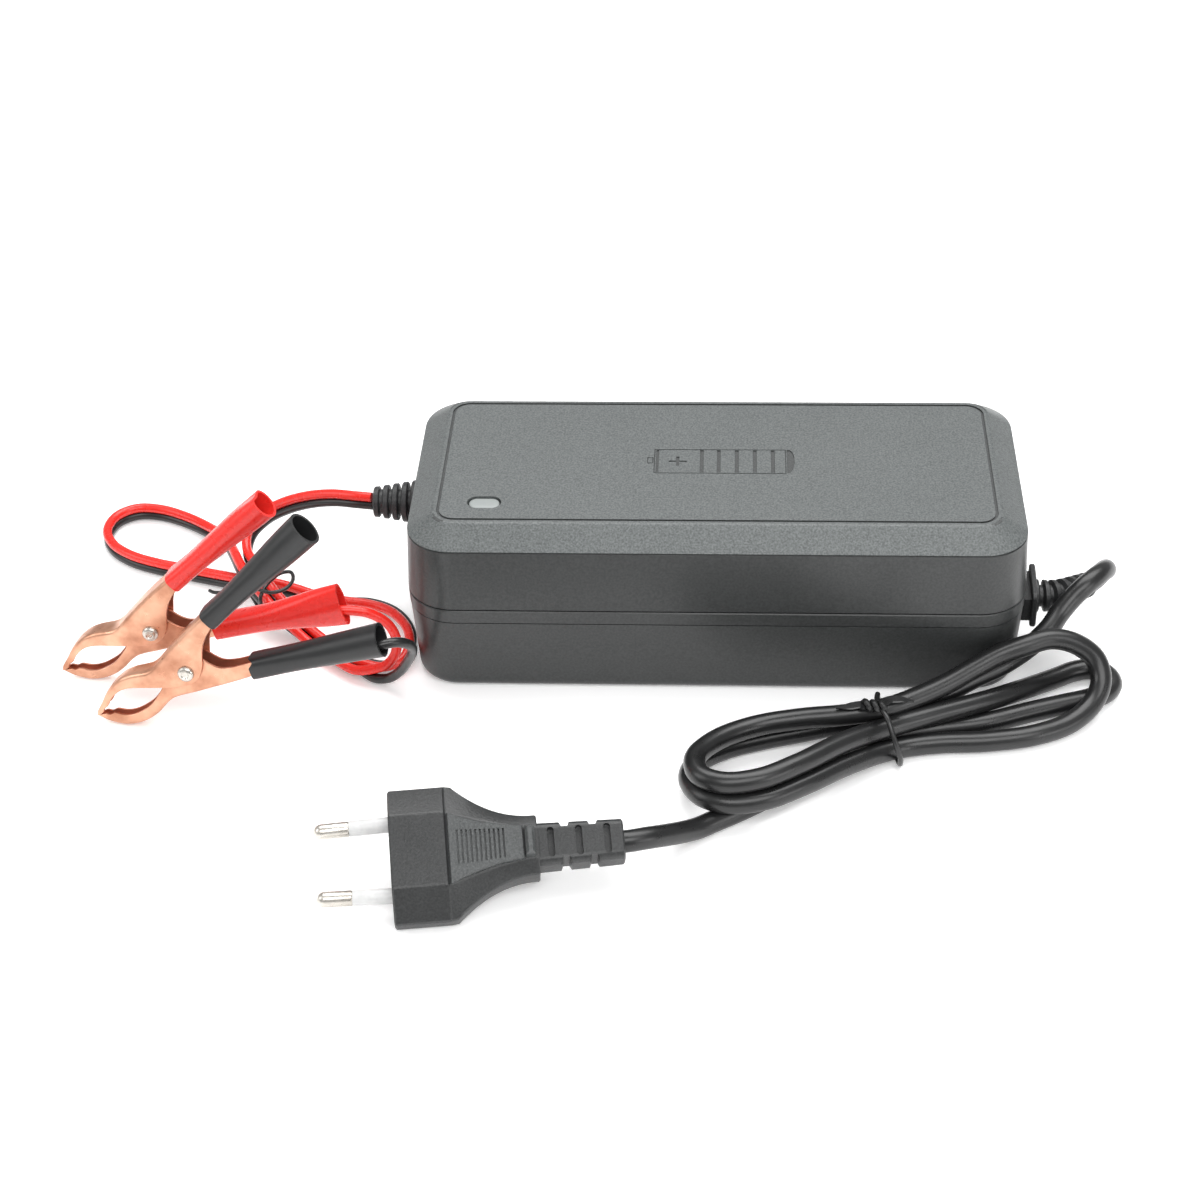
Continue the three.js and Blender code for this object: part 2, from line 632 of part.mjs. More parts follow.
function addMainsLead() {
  add("mains_lead_first_run", cordTube(MAINS_FIRST_RUN, MAINS_CORD, 10, 8), BLACK_RUBBER, laid);
  add("mains_lead_hank", mainsHank(), BLACK_RUBBER, laid);
  add("mains_lead_last_run", cordTube(MAINS_LAST_RUN, MAINS_CORD, 10, 4), BLACK_RUBBER, laid);
  add("mains_lead_tie", mainsTie(), BLACK_RUBBER, laid);
  const plug = new THREE.Group();
  plug.position.copy(PLUG.face);
  plug.rotation.set(THREE.MathUtils.degToRad(PLUG.roll), 0, THREE.MathUtils.degToRad(PLUG.heading), "ZYX");
  laid.add(plug);
  add("plug_body", plugBody(), PLUG_GREY, plug);
  [1, -1].forEach((side, i) => {
    add(`plug_pin_${i + 1}`, plugPin(side), STEEL, plug);
    add(`plug_pin_sleeve_${i + 1}`, pinSleeve(side), WHITE_PLASTIC, plug);
  });
}

// The twin lead's line moved square to itself, up by a distance
function besideRun(rise) {
  const line = TWIN_RUN.map((p) => new THREE.Vector3(...p));
  const up = new THREE.Vector3(0, 0, 1);
  return line.map((point, i) => {
    const before = line[Math.max(i - 1, 0)];
    const after = line[Math.min(i + 1, line.length - 1)];
    const along = after.clone().sub(before).normalize();
    const square = up.clone().addScaledVector(along, -up.dot(along)).normalize();
    return point.clone().addScaledVector(square, rise).toArray();
  });
}

// Low-voltage lead: two cores on edge, the red one above the black
function addTwinLead() {
  const red = cordTube([...besideRun(CORE_OFFSET), ...RED_TAIL], TWIN_CORE, 8, 72);
  const black = cordTube([...besideRun(-CORE_OFFSET), ...BLACK_TAIL], TWIN_CORE, 8, 72);
  add("dc_lead_red", red, RED_PVC, laid);
  add("dc_lead_black", black, BLACK_RUBBER, laid);
  add("dc_lead_tie", twinTie(), BLACK_RUBBER, laid);
}

function twinTie() {
  const loop = [
    [-146, -2, 12.6], [-141.6, -3.6, 13.8], [-137.4, -4, 14.4], [-133.2, -3.2, 14.6], [-129.2, 0.4, 14.2],
    [-127, 5.4, 12], [-126.6, 9.4, 7], [-128.6, 9.8, 1.6], [-131.6, 7.4, 0.8], [-135.6, 3, 0.8],
    [-139.4, -2, 1.2], [-141.4, -4, 5], [-140, -2.4, 12], [-135.6, -1, 16], [-129.4, -2.6, 16.6],
    [-124.4, -2.6, 15.6], [-122.8, 1, 14.6],
  ];
  return cordTube(loop, 1, 6, 40);
}

// Clips, drawn closed with the rivet at the origin, the tips at -X and the handles at +X
const UPPER_OUTER = [
  [-31.9, 0.2], [-31.2, 1.2], [-28.4, 2.7], [-25.5, 4.6], [-22.2, 6.1], [-18.5, 6.9], [-15, 6.7], [-12, 5.8],
  [-9.8, 5.3], [-7.6, 5.6], [2.7, 9.1], [9.1, 10.9], [15, 12.1], [38, 17.8],
];
const UPPER_INNER = [
  [38, 13.8], [15, 8.1], [11.2, 6.3], [8.4, 3.9], [6.6, 1.4], [5.2, -0.6], [3.2, -2.3], [0.5, -3.3],
  [-2.8, -3], [-6.4, -1.7], [-9.5, -0.2], [-13.5, 1.6], [-17.3, 3.3], [-20.4, 3.9], [-23.4, 3.4], [-25.6, 2.3],
  [-27, 1.3],
  [-28.6, 1.2], [-29.2, 0.2],
];
const LOWER_OUTER = [
  [-31.9, -0.2], [-31.2, -1.5], [-28.8, -4.1], [-26, -6.1], [-22.2, -7.3], [-18.4, -7.5], [-14.8, -6.9],
  [-11.6, -5.8], [-8.9, -5.2], [-6, -5.5], [-3.4, -6.1], [14.3, -9.6], [17.5, -10.1], [40, -16.1],
];
const LOWER_INNER = [
  [40, -11.9], [17.5, -5.9], [12, -4.6], [8.6, -2.9], [7, -0.8], [5.8, 1.6], [4, 3.4], [1.5, 4.3],
  [-1.5, 4.3], [-4.2, 3.2], [-6.4, 1.2], [-8.9, -0.6], [-12.1, -2.4], [-15.8, -3.9], [-19.6, -4.3], [-22.6, -4],
  [-25, -2.9],
  [-26.8, -1.3], [-28.6, -1.2], [-29.4, -0.2],
];

// A line moved sideways by a distance, along the mean normal at each point
function offsetLine(points, distance) {
  return points.map(([x, z], i) => {
    const [x0, z0] = points[Math.max(i - 1, 0)];
    const [x1, z1] = points[Math.min(i + 1, points.length - 1)];
    const length = Math.hypot(x1 - x0, z1 - z0);
    return [x + ((z1 - z0) / length) * distance, z - ((x1 - x0) / length) * distance];
  });
}

// A bent-up sheet channel: two flanges joined by a web along the outer edge
function channel(outer, inner, halfWidth, inward) {
  const webInside = offsetLine(outer, inward * CLIP.sheet).slice(2);
  const [endX] = outer.at(-1);
  const far = -inward * 14;
  const hollow = [...webInside, [endX + 4, webInside.at(-1)[1]], [endX + 4, far], [webInside[0][0], far]];
  const pinHole = new THREE.CylinderGeometry(CLIP.rivetHole, CLIP.rivetHole, 12, 16);
  return cut(plate([...outer, ...inner], halfWidth), plate(hollow, halfWidth - CLIP.sheet), pinHole);
}

function clipRivet() {
  const { upperHalfWidth, rivetHead, rivetShaft } = CLIP;
  const face = upperHalfWidth + GAP;
  return turned([
    [0, -face - 0.9],
    [rivetHead * 0.6, -face - 0.8],
    [rivetHead, -face - 0.2],
    [rivetHead, -face],
    [rivetShaft, -face],
    [rivetShaft, face],
    [rivetHead, face],
    [rivetHead, face + 0.2],
    [rivetHead * 0.6, face + 0.8],
    [0, face + 0.9],
  ], 16).rotateX(Math.PI / 2);
}

// A torsion spring round the rivet, with a leg along each handle
function clipSpring() {
  const coilRadius = 2.5;
  const turns = 2.6;
  const halfLength = 1.4;
  const startAngle = -0.7;
  const coilSteps = 24;
  const coil = Array.from({ length: coilSteps + 1 }, (_, i) => {
    const angle = startAngle - (2 * Math.PI * turns * i) / coilSteps;
    const y = -halfLength + (2 * halfLength * i) / coilSteps;
    return [coilRadius * Math.cos(angle), y, coilRadius * Math.sin(angle)];
  });
  const lowerLeg = [[13, -halfLength, -7.9], [8, -halfLength, -6.4], [4, -halfLength, -4.4]];
  const upperLeg = [[1.8, halfLength, 3.6], [6, halfLength, 7], [12, halfLength, 9.8]];
  return cordTube([...lowerLeg, ...coil, ...upperLeg], CLIP.springWire, 6, 52);
}

// An open sleeve, hollow from end to end: sections of [share of its length, half width, half height].
// It is nearly square at its start and round at its end.
function sleeve(start, end, sections, wall = 0.8) {
  const sides = 14;
  const [dx, dz] = [end[0] - start[0], end[1] - start[1]];
  const length = Math.hypot(dx, dz);
  const ringAt = ([along, halfWidth, halfHeight], thinner) => {
    const squareness = THREE.MathUtils.lerp(0.5, 1, THREE.MathUtils.clamp((along - 0.65) * 3, 0, 1));
    const bulge = (value) => Math.sign(value) * Math.abs(value) ** squareness;
    return Array.from({ length: sides }, (_, k) => {
      const angle = (2 * Math.PI * (k + 0.5)) / sides;
      const lift = (halfHeight - thinner) * bulge(Math.sin(angle));
      return new THREE.Vector3(
        start[0] + dx * along - (dz / length) * lift,
        (halfWidth - thinner) * bulge(Math.cos(angle)),
        start[1] + dz * along + (dx / length) * lift,
      );
    });
  };
  const outside = sections.map((section) => ringAt(section, 0));
  const first = sections[0];
  const last = sections.at(-1);
  const bore = [[-0.05, first[1], first[2]], ...sections, [1.05, last[1], last[2]]];
  return cut(loft(outside), loft(bore.map((section) => ringAt(section, wall))));
}

function addClip(colour, sleeveMaterial, lowerEnd) {
  const { rivet, yaw, lean, incline } = CLIP_POSES[colour];
  const clip = new THREE.Group();
  clip.position.set(...rivet);
  const [rx, ry, rz] = [-lean, -incline, yaw].map(THREE.MathUtils.degToRad);
  clip.rotation.set(rx, ry, rz, "ZXY");
  laid.add(clip);
  const { upperHalfWidth, lowerHalfWidth } = CLIP;
  const name = (piece) => `${colour}_clip_${piece}`;
  add(name("lower_jaw"), channel(LOWER_OUTER, LOWER_INNER, lowerHalfWidth, -1), COPPER_PLATE, clip);
  add(name("upper_jaw"), channel(UPPER_OUTER, UPPER_INNER, upperHalfWidth, 1), COPPER_PLATE, clip);
  add(name("rivet"), clipRivet(), STEEL, clip);
  add(name("spring"), clipSpring(), STEEL, clip);
  const upperSections = [[0, 5.2, 3.6], [0.3, 5.1, 4], [0.65, 4.9, 4.6], [1, 4.6, 4.7]];
  const upper = sleeve([14.6, 10], [52.6, 19.4], upperSections);
  const lower = sleeve([17.6, -8], [52.5, -17.4], [[0, 4.4, 3.6], [0.3, 4.5, 4], [0.65, 4.6, 4.5], lowerEnd]);
  add(name("upper_sleeve"), upper, sleeveMaterial, clip);
  add(name("lower_sleeve"), lower, sleeveMaterial, clip);
}

addCase();
addBoard();
addMainsLead();
addTwinLead();
addClip("black", BLACK_RUBBER, [1, 4.7, 4.6]);
addClip("red", RED_PVC, [1, 4.1, 5.5]);

export default charger;
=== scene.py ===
"""The looks of a car battery charger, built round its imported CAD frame. Lengths are in millimetres
until they reach a mesh, where MM makes them metres. X runs along the case, -Y is its front, +Z is up."""

import json
from math import atan2, copysign, cos, pi, radians, sin

import bmesh
import bpy
from mathutils import Matrix, Vector


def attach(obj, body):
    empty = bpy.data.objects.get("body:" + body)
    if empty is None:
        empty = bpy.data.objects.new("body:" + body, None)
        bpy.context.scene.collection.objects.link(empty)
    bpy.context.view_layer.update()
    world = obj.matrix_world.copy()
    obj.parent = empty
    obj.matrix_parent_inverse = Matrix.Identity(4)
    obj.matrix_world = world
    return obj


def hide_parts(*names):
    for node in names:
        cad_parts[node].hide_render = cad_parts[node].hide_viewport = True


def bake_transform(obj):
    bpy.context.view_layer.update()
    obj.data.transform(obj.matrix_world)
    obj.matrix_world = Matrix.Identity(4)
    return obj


MM = 0.001
ROOT = "charger"

FLOOR_HALF = 3000.0
FLOOR_Z = -0.1  # just under the object, so that no two faces share a plane
# turn is yaw, pitch and roll in degrees
CAMERA = {"turn": (-3.9, 36.8, -1.87), "place": (1.83, -553.7, 421.35), "lens": 72.66}

# Case
CASE_LENGTH = 168.0
CASE_DEPTH = 75.2
CASE_HEIGHT = 52.0
CORNER_RADIUS = 12.7
PARTING_Z = 28.0
PARTING_FLARE = 0.9
CHAMFER_FOOT_Z = 47.2
CHAMFER_INSET = 7.1
FOOT_INSET = 0.8
FOOT_RADIUS = 3.0
WALL = 2.2
SEAM = 0.15  # half of the gap between the two shells
LIP_HEIGHT = 4.0  # the base shell's rim below the parting line
GROOVE = {"inset": 8.2, "radius": 5.0, "width": 0.8, "depth": 0.45}
PANEL = (76.5, 30.0)  # half sizes of a rectangle that holds the groove
LED = {"x": -63.0, "y": -20.9, "length": 9.3, "width": 5.6}
SCREW = {"x": 74.5, "y": 26.5}
AC_OPENING = (-22.8, -8.4, 13.5, 21.9)  # y and z limits

# The leads, their strain reliefs, the plug and the clips are laid out in a frame of their own
LAID_SHIFT = -1.6  # that frame's place along Y


def laid(points):
    return [(x, y + LAID_SHIFT, z) for x, y, z in points]


# Leads
MAINS_DIAMETER = 5.8
CORE_DIAMETER = 2.8
CORE_OFFSET = 1.36
RED_LENGTH = 433.0
BLACK_LENGTH = 443.0

MAINS_ROUTE = laid([
    # out of the strain relief and back over it
    (104.95, -4.85, 14.9), (106, -3.8, 14.8), (107.9, -2.4, 15.6), (109.4, -2.8, 18.2), (109.2, -7, 21.8),
    (106.4, -12.2, 23.8), (102.7, -16, 23.2), (98.5, -19, 20.4), (95, -22.2, 17.6), (92, -26, 15.4),
    # first strand, to the left loop
    (86.2, -31, 12.6), (78.6, -37.4, 11.6), (70.5, -42, 10.4), (63, -46.4, 9), (55, -50.2, 8),
    (46.5, -53.2, 7), (36, -56.2, 6.2), (25, -57.6, 4.2), (13.5, -59.8, 3), (2.5, -64.6, 3.2),
    (-4.8, -72.8, 5), (-6.2, -81.6, 7), (-2.6, -88.8, 8), (4.4, -91.5, 8.2), (13.4, -89.8, 8.2),
    # second strand, along the floor to the right loop
    (23.8, -83.4, 7.9), (36, -72.8, 6), (48.5, -63.6, 3.4), (60, -60.6, 2.95), (73, -59.6, 2.95),
    (86, -56.8, 2.95), (96.5, -51.4, 3.2), (103, -45.2, 5.4), (105.2, -40.4, 9), (103.6, -36.4, 13.2),
    # third strand, on top, back to the left loop
    (98.3, -34.6, 16.8), (91.4, -34.8, 18.6), (84.2, -37.4, 18.2), (77, -40, 17), (70, -43.8, 15.2),
    (62.5, -48.3, 13.4), (54, -52.9, 12.2), (46, -56.7, 11.7), (35, -59.2, 11.3), (23, -60, 10.4),
    (11, -62.8, 10), (0.8, -69.8, 11), (-4.8, -79, 12.4), (-3.4, -86.6, 13.3), (2.8, -89.8, 13.6),
    # fourth strand, to the right loop again
    (12, -88.1, 13.6), (22.4, -81.4, 13.2), (34, -70.8, 11.4), (46, -61.4, 8.8), (59.5, -54.9, 8.4),
    (73, -48.2, 7.4), (85, -39.6, 5), (94, -32.8, 3.3), (99.6, -29.2, 2.95), (104.4, -28.2, 2.95),
    (108.2, -30.4, 2.95),
    # last strand, under the others and out to the plug
    (109.4, -34.4, 2.95), (107.4, -38.3, 2.95), (103, -40.9, 2.95), (96, -43.4, 2.95), (86, -47, 2.95),
    (73, -52, 2.95), (60, -54.8, 2.95), (48.3, -58, 2.95), (36.3, -66.8, 2.95), (24, -75.6, 2.95),
    (13.6, -83.6, 2.95), (7, -88.4, 2.95), (0.6, -92.6, 3), (-3.6, -95.8, 3.4), (-7, -98.8, 4.8),
    (-11.6, -103, 7.4), (-16.4, -106.8, 9.8), (-21, -108.9, 10.6), (-25.4, -109.6, 10.66),
])
TWIN_RUN = laid([
    (-98.6, 8.2, 33), (-103.5, 9.2, 32.8), (-110, 11.8, 31.6), (-118, 15.2, 28.6), (-127, 19.2, 23.2),
    (-134, 21, 17.8), (-138, 19, 13.4), (-138.2, 13.6, 10.9), (-135.4, 7.6, 10.4), (-131.6, 1, 10.4),
    (-127.2, -5.4, 9.2), (-122.6, -9.8, 6.8), (-117.8, -13.4, 4.2), (-111.5, -18.4, 3.1), (-105, -23.6, 3.1),
    (-98.8, -28, 3.1), (-93, -29.4, 3.1), (-89, -27.2, 3.1), (-87, -22.2, 3.1), (-87.2, -15.5, 3.1),
    (-89.8, -8.9, 3.1), (-94.4, -3.4, 3.1), (-101, -0.2, 3.1), (-108.7, 0.4, 3.1), (-116, 1.6, 3.3),
    (-122.4, 3.6, 3.7), (-128.5, 5.4, 4), (-135, 6.8, 4), (-141.6, 8.6, 3.6), (-148.6, 11, 3.2),
    (-157, 13.6, 3.1), (-166, 16.2, 3.1), (-175.2, 20.2, 3.1), (-182, 26, 3.1), (-185.2, 33.2, 3.1),
    (-183.8, 40.6, 3.1), (-178.4, 44.8, 3.1), (-171, 44.4, 3.1), (-162, 40.4, 3.1), (-153.4, 33.6, 3.8),
    (-147, 25, 6.4), (-142.8, 15, 9.6), (-139.2, 6.6, 10.4), (-134.6, -2, 10.4), (-129.6, -8.4, 9.2),
    (-124.6, -13, 6.8), (-119, -16.8, 4.2), (-113, -21.4, 3.1), (-106.6, -26.8, 3.1), (-100.2, -31.4, 3.1),
])
# (point number, share) rows: where the two cores lie side by side rather than one over the other
FLAT_LAY = [(0, 0), (11, 0), (14, 1), (22, 1), (26, 0), (44, 0), (47, 1), (49, 1)]
RED_TAIL = laid([
    (-95.2, -33.6, 4.9), (-91.6, -33.6, 6.4), (-89, -33, 9.8), (-88.3, -32.8, 14.8), (-90.2, -33.3, 20.6),
    (-94.4, -34.3, 24.8), (-99, -35, 26.4), (-104, -35.4, 26.7), (-112, -35.4, 25.6),
])
BLACK_TAIL = laid([
    (-95.4, -33.8, 1.8), (-91.2, -35.4, 3), (-87.4, -37.6, 7.2), (-84.2, -41.2, 14), (-82, -45.6, 21),
    (-82.2, -50, 26.6), (-85, -53, 29.6), (-88.6, -54.4, 29.8), (-93, -54.6, 28.5), (-99, -54.6, 27),
])
MAINS_TIE = laid([
    (44.6, -62.2, 15.4), (45.9, -65.2, 14.8), (46.9, -67.6, 12.6), (48.2, -69.6, 9.4), (49.4, -69.6, 5.2),
    (49.6, -67.4, 1.4), (48.6, -62.8, 0.95), (47.4, -57.6, 0.95), (46.4, -52.4, 1.2), (45, -49.6, 4.6),
    (44.2, -50.2, 9.6), (43.8, -53.2, 13.6), (43.4, -57.4, 15.2), (43.9, -61, 15.8),
])
MAINS_TIE_TAILS = [
    laid([(44.4, -60.8, 16.6), (46.6, -58.6, 16.2), (49.4, -58.4, 16.2), (53, -59.6, 16.4)]),
    laid([(42.4, -60.6, 16), (39.2, -59.6, 15.3), (35.8, -60, 14.9), (32.4, -60.4, 14.6)]),
]
TWIN_TIE = laid([
    (-145.6, -7.3, 12), (-144, -8.8, 12.5), (-141.1, -9.9, 13.4), (-137.6, -9.6, 14), (-134, -9.4, 14.6),
    (-130.5, -10.6, 15), (-126.7, -11.9, 15), (-122.9, -10.1, 15), (-121.3, -5.6, 15), (-122.6, -2, 15),
    (-125.4, -2, 14.6), (-127.4, -5.2, 14.8), (-129, -9, 14.6), (-130, -11.6, 13), (-130, -12, 9.4),
    (-130.8, -9.6, 6), (-133.6, -4, 5.6), (-136.6, 1.4, 6.2), (-137.8, 4, 9), (-137, 4.4, 12.4),
    (-134.6, 1.4, 14.4), (-131.8, -3, 14.6),
])

# Strain reliefs
DC_RELIEF = {
    "y": 8.0 + LAID_SHIFT, "z": 33.0, "ribs": 5, "pitch": 2.75, "hole": 4.5,
    "first": 6.3, "last": 4.5, "rib": 1.75, "core": 3.6, "start": 0.25,
}
AC_FLANGE = {
    "x": 87.6, "y": -14.0 + LAID_SHIFT, "z": 17.9, "thick": 1.6, "width": 16.2, "height": 11.4, "tilt": -2,
}
AC_STUB = (80.6, 88.6, -22.3, -8.9, 14.1, 21.3)
AC_TAPER = {"first": 4.7, "last": 3.6, "core": 3.05, "ribs": 6.6, "rib": 0.62, "round": 0.1}
AC_RELIEF_LINE = laid([
    (88.6, -14, 17.7), (91.5, -14, 17.7), (94.2, -13.5, 17.6), (97.2, -12.1, 17.3), (100, -9.9, 16.7),
    (102.6, -7.3, 15.8), (104.7, -5.1, 15),
])

# Plug
PLUG_FACE = (-80.34, -117.21 + LAID_SHIFT, 10.66)
PLUG_HEADING = 7.88
PLUG_ROLL = 29.7
PLUG_BODY = 37.0
PLUG_LENGTH = 58.6
PIN = {"radius": 2.0, "length": 19.0, "sleeve": 10.0, "base": 18.6, "tip": 17.5}

# Clips
CLIP_POSES = {
    "black": {"rivet": (-142.3, -51.4 + LAID_SHIFT, 19.1), "yaw": -5.7, "lean": 10.0, "incline": 31.7},
    "red": {"rivet": (-156.0, -32.4 + LAID_SHIFT, 18.3), "yaw": -4.0, "lean": 5.6, "incline": 29.3},
}
SHEET = 0.7
SPRING_WIRE = 0.8
UPPER_HALF_WIDTH = 3.8
LOWER_HALF_WIDTH = 2.8
# Each row pairs a point on the bent back of the sheet with the point on the flange's free edge below it
UPPER_JAW = [
    (-31.9, 0.2, -30.6, 0.15), (-31.3, 1.1, -29.4, 0.35), (-29.8, 2, -28.4, 1.1), (-28.2, 2.9, -26.9, 1.4),
    (-25.5, 4.6, -25.2, 2.5), (-22.2, 6.1, -22.9, 3.5), (-18.5, 6.9, -20, 3.9), (-15.2, 6.7, -16.9, 3.2),
    (-12.2, 5.9, -13.4, 1.6), (-9.9, 5.35, -10.2, 0.1), (-7.6, 5.6, -7, -1.4), (-4.6, 6.6, -3.9, -2.7),
    (-1, 7.9, -0.6, -3.3), (1.4, 8.7, 2, -3), (3.6, 9.4, 4.3, -1.5), (5.6, 10, 5.9, 0.3),
    (7.4, 10.5, 7.2, 2.2), (9.2, 10.95, 8.8, 4.3), (11.6, 11.6, 11.4, 6.4), (15, 12.3, 15, 8.2),
    (26, 14.9, 26, 11), (38, 17.8, 38, 13.8),
]
LOWER_JAW = [
    (-31.9, -0.2, -30.7, -0.15), (-31.2, -1.5, -29.5, -0.35), (-30.2, -2.8, -28.5, -1.2),
    (-28.6, -4.3, -26.9, -1.4), (-26, -6.1, -25, -2.9), (-22.2, -7.3, -22.6, -4), (-18.4, -7.5, -19.6, -4.3),
    (-14.8, -6.9, -15.8, -3.9), (-11.6, -5.8, -12.1, -2.4), (-8.9, -5.2, -8.9, -0.6), (-6.4, -5.4, -6.4, 1.2),
    (-4.2, -5.9, -4.2, 3.2), (-1.6, -6.5, -1.5, 4.3), (1.5, -7.1, 1.5, 4.3), (4, -7.6, 4, 3.4),
    (5.9, -8, 5.8, 1.6), (7.4, -8.3, 7, -0.8), (9, -8.6, 8.7, -3), (12.2, -9.2, 12, -4.6),
    (17.5, -10.1, 17.5, -5.9), (28, -12.9, 28, -8.7), (40, -16.1, 40, -11.9),
]

# Each row is (share of the length, half width, half height)
SLEEVES = {
    "black": (
        {"start": (14.4, 10), "end": (52.6, 19.4),
         "sections": [(0, 4.8, 3.1), (0.22, 4.4, 3.1), (0.5, 4.4, 3.8), (0.78, 4.6, 4.6), (1, 4.8, 4.9)]},
        {"start": (16.4, -7.8), "end": (52.5, -17.4), "torn": 1.6,
         "sections": [(0, 4, 3.2), (0.3, 4, 3.5), (0.65, 4.3, 4.2), (1, 4.7, 4.7)]},
    ),
    "red": (
        {"start": (14.4, 10), "end": (50.4, 18.8), "dent": 0.9,
         "sections": [(0, 4.6, 2.9), (0.22, 4.3, 2.9), (0.5, 4.3, 3.4), (0.78, 4.4, 4.2), (1, 4.5, 4.5)]},
        {"start": (16.4, -7.8), "end": (52.5, -17.4),
         "sections": [(0, 4, 3.1), (0.3, 4, 3.4), (0.62, 3.9, 4.7), (0.85, 3.5, 5.9), (1, 3.2, 6.4)]},
    ),
}

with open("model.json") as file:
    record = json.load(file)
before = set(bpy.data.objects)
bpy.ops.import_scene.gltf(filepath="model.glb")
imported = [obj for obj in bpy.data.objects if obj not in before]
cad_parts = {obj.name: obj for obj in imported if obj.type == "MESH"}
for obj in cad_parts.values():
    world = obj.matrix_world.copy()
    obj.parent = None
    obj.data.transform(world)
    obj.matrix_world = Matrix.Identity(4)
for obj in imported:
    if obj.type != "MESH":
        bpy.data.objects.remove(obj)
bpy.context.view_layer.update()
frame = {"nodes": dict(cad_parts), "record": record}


# Materials
ROUGHNESS_DRIFT = 0.06


def shader(name, color, roughness, **sockets):
    """A new material. A further socket of its shader is named with _ for each space."""
    material = bpy.data.materials.new(name)
    material.use_nodes = True
    inputs = shader_inputs(material)
    inputs["Base Color"].default_value = (*color, 1)
    inputs["Roughness"].default_value = roughness
    for socket, value in sockets.items():
        inputs[socket.replace("_", " ")].default_value = value
    return material


def shader_inputs(material):
    return material.node_tree.nodes["Principled BSDF"].inputs


def noise(material, scale, detail=2.0, stretch=(1, 1, 1)):
    """A noise texture fixed to the object. Scale is in features per metre."""
    nodes, links = material.node_tree.nodes, material.node_tree.links
    place = nodes.new("ShaderNodeTexCoord")
    mapping = nodes.new("ShaderNodeMapping")
    mapping.inputs["Scale"].default_value = stretch
    texture = nodes.new("ShaderNodeTexNoise")
    texture.inputs["Scale"].default_value = scale
    texture.inputs["Detail"].default_value = detail
    links.new(place.outputs["Object"], mapping.inputs["Vector"])
    links.new(mapping.outputs["Vector"], texture.inputs["Vector"])
    return texture.outputs["Fac"]


def add_bump(material, height, distance, strength=1.0):
    """A bump on the shader. Distance is in millimetres."""
    nodes, links = material.node_tree.nodes, material.node_tree.links
    bump = nodes.new("ShaderNodeBump")
    bump.inputs["Distance"].default_value = distance * MM
    bump.inputs["Strength"].default_value = strength
    links.new(height, bump.inputs["Height"])
    links.new(bump.outputs["Normal"], shader_inputs(material)["Normal"])


def ramp(material, socket, factor, stops):
    """Drives a shader's socket by a colour ramp with two stops of (position, grey or colour)."""
    links = material.node_tree.links
    node = material.node_tree.nodes.new("ShaderNodeValToRGB")
    links.new(factor, node.inputs["Fac"])
    for element, (position, color) in zip(node.color_ramp.elements, stops):
        element.position = position
        element.color = (*color, 1) if isinstance(color, tuple) else (color, color, color, 1)
    links.new(node.outputs["Color"], shader_inputs(material)[socket])


def textured(name, dark, light, roughness, grain, depth):
    """A moulded plastic: spark-eroded grain, and a roughness that drifts a little."""
    material = shader(name, light, roughness)
    fine = noise(material, grain, 3)
    coarse = noise(material, grain / 40)
    drift = [(0.3, roughness - ROUGHNESS_DRIFT), (0.7, roughness + ROUGHNESS_DRIFT)]
    ramp(material, "Base Color", fine, [(0.32, dark), (0.68, light)])
    ramp(material, "Roughness", coarse, drift)
    add_bump(material, fine, depth)
    return material


def pvc(name, color, roughness):
    """A smooth flexible sheath with dust-fine mottling and light scuffs."""
    material = shader(name, color, roughness)
    mottle = noise(material, 900, 3)
    darker = tuple(0.9 * c for c in color)
    ramp(material, "Base Color", mottle, [(0.3, darker), (0.7, color)])
    scuffs = [(0.35, roughness - 0.03), (0.75, roughness + 0.05)]
    ramp(material, "Roughness", noise(material, 260, 4), scuffs)
    add_bump(material, mottle, 0.012)
    return material


def plated(name, dark, light, roughness, bump_depth=0.02):
    """Thin plating on stamped steel: cloudy colour, fine scratches and small dents."""
    material = shader(name, light, roughness, Metallic=0.85)
    clouds = noise(material, 140, 4)
    ramp(material, "Base Color", clouds, [(0.3, dark), (0.62, light)])
    scratches = noise(material, 500, 5, (1, 3, 1))
    worn = [(0.3, roughness - 0.08), (0.75, roughness + 0.14)]
    ramp(material, "Roughness", scratches, worn)
    add_bump(material, scratches, bump_depth)
    return material


def lens_material():
    milky = {"Subsurface_Weight": 0.15, "Subsurface_Radius": (0.001, 0.001, 0.001)}
    material = shader("lens_frosted", (0.26, 0.28, 0.275), 0.4, **milky)
    add_bump(material, noise(material, 1500), 0.02)
    return material


def glass_material():
    material = shader("glass_tube", (0.9, 0.92, 0.9), 0.05, Transmission_Weight=0.85)
    add_bump(material, noise(material, 300), 0.02)
    return material


def floor_material():
    glow = {"Emission_Color": (1, 1, 1, 1), "Emission_Strength": 0.25}
    material = shader("floor", (0.93, 0.93, 0.93), 0.75, **glow)
    add_bump(material, noise(material, 40), 0.05, 0.2)
    return material


CASE_TOP = textured("case_grained", (0.058, 0.064, 0.064), (0.13, 0.141, 0.14), 0.42, 1900, 0.1)
# The walls below the chamfer's foot take a far darker copy of the case plastic: painted shade, besides a
# satin finish
CASE_SIDE_SHADED = textured("case_satin_painted_shade", (0.021, 0.0225, 0.0225), (0.034, 0.036, 0.036), 0.36, 1500, 0.02)
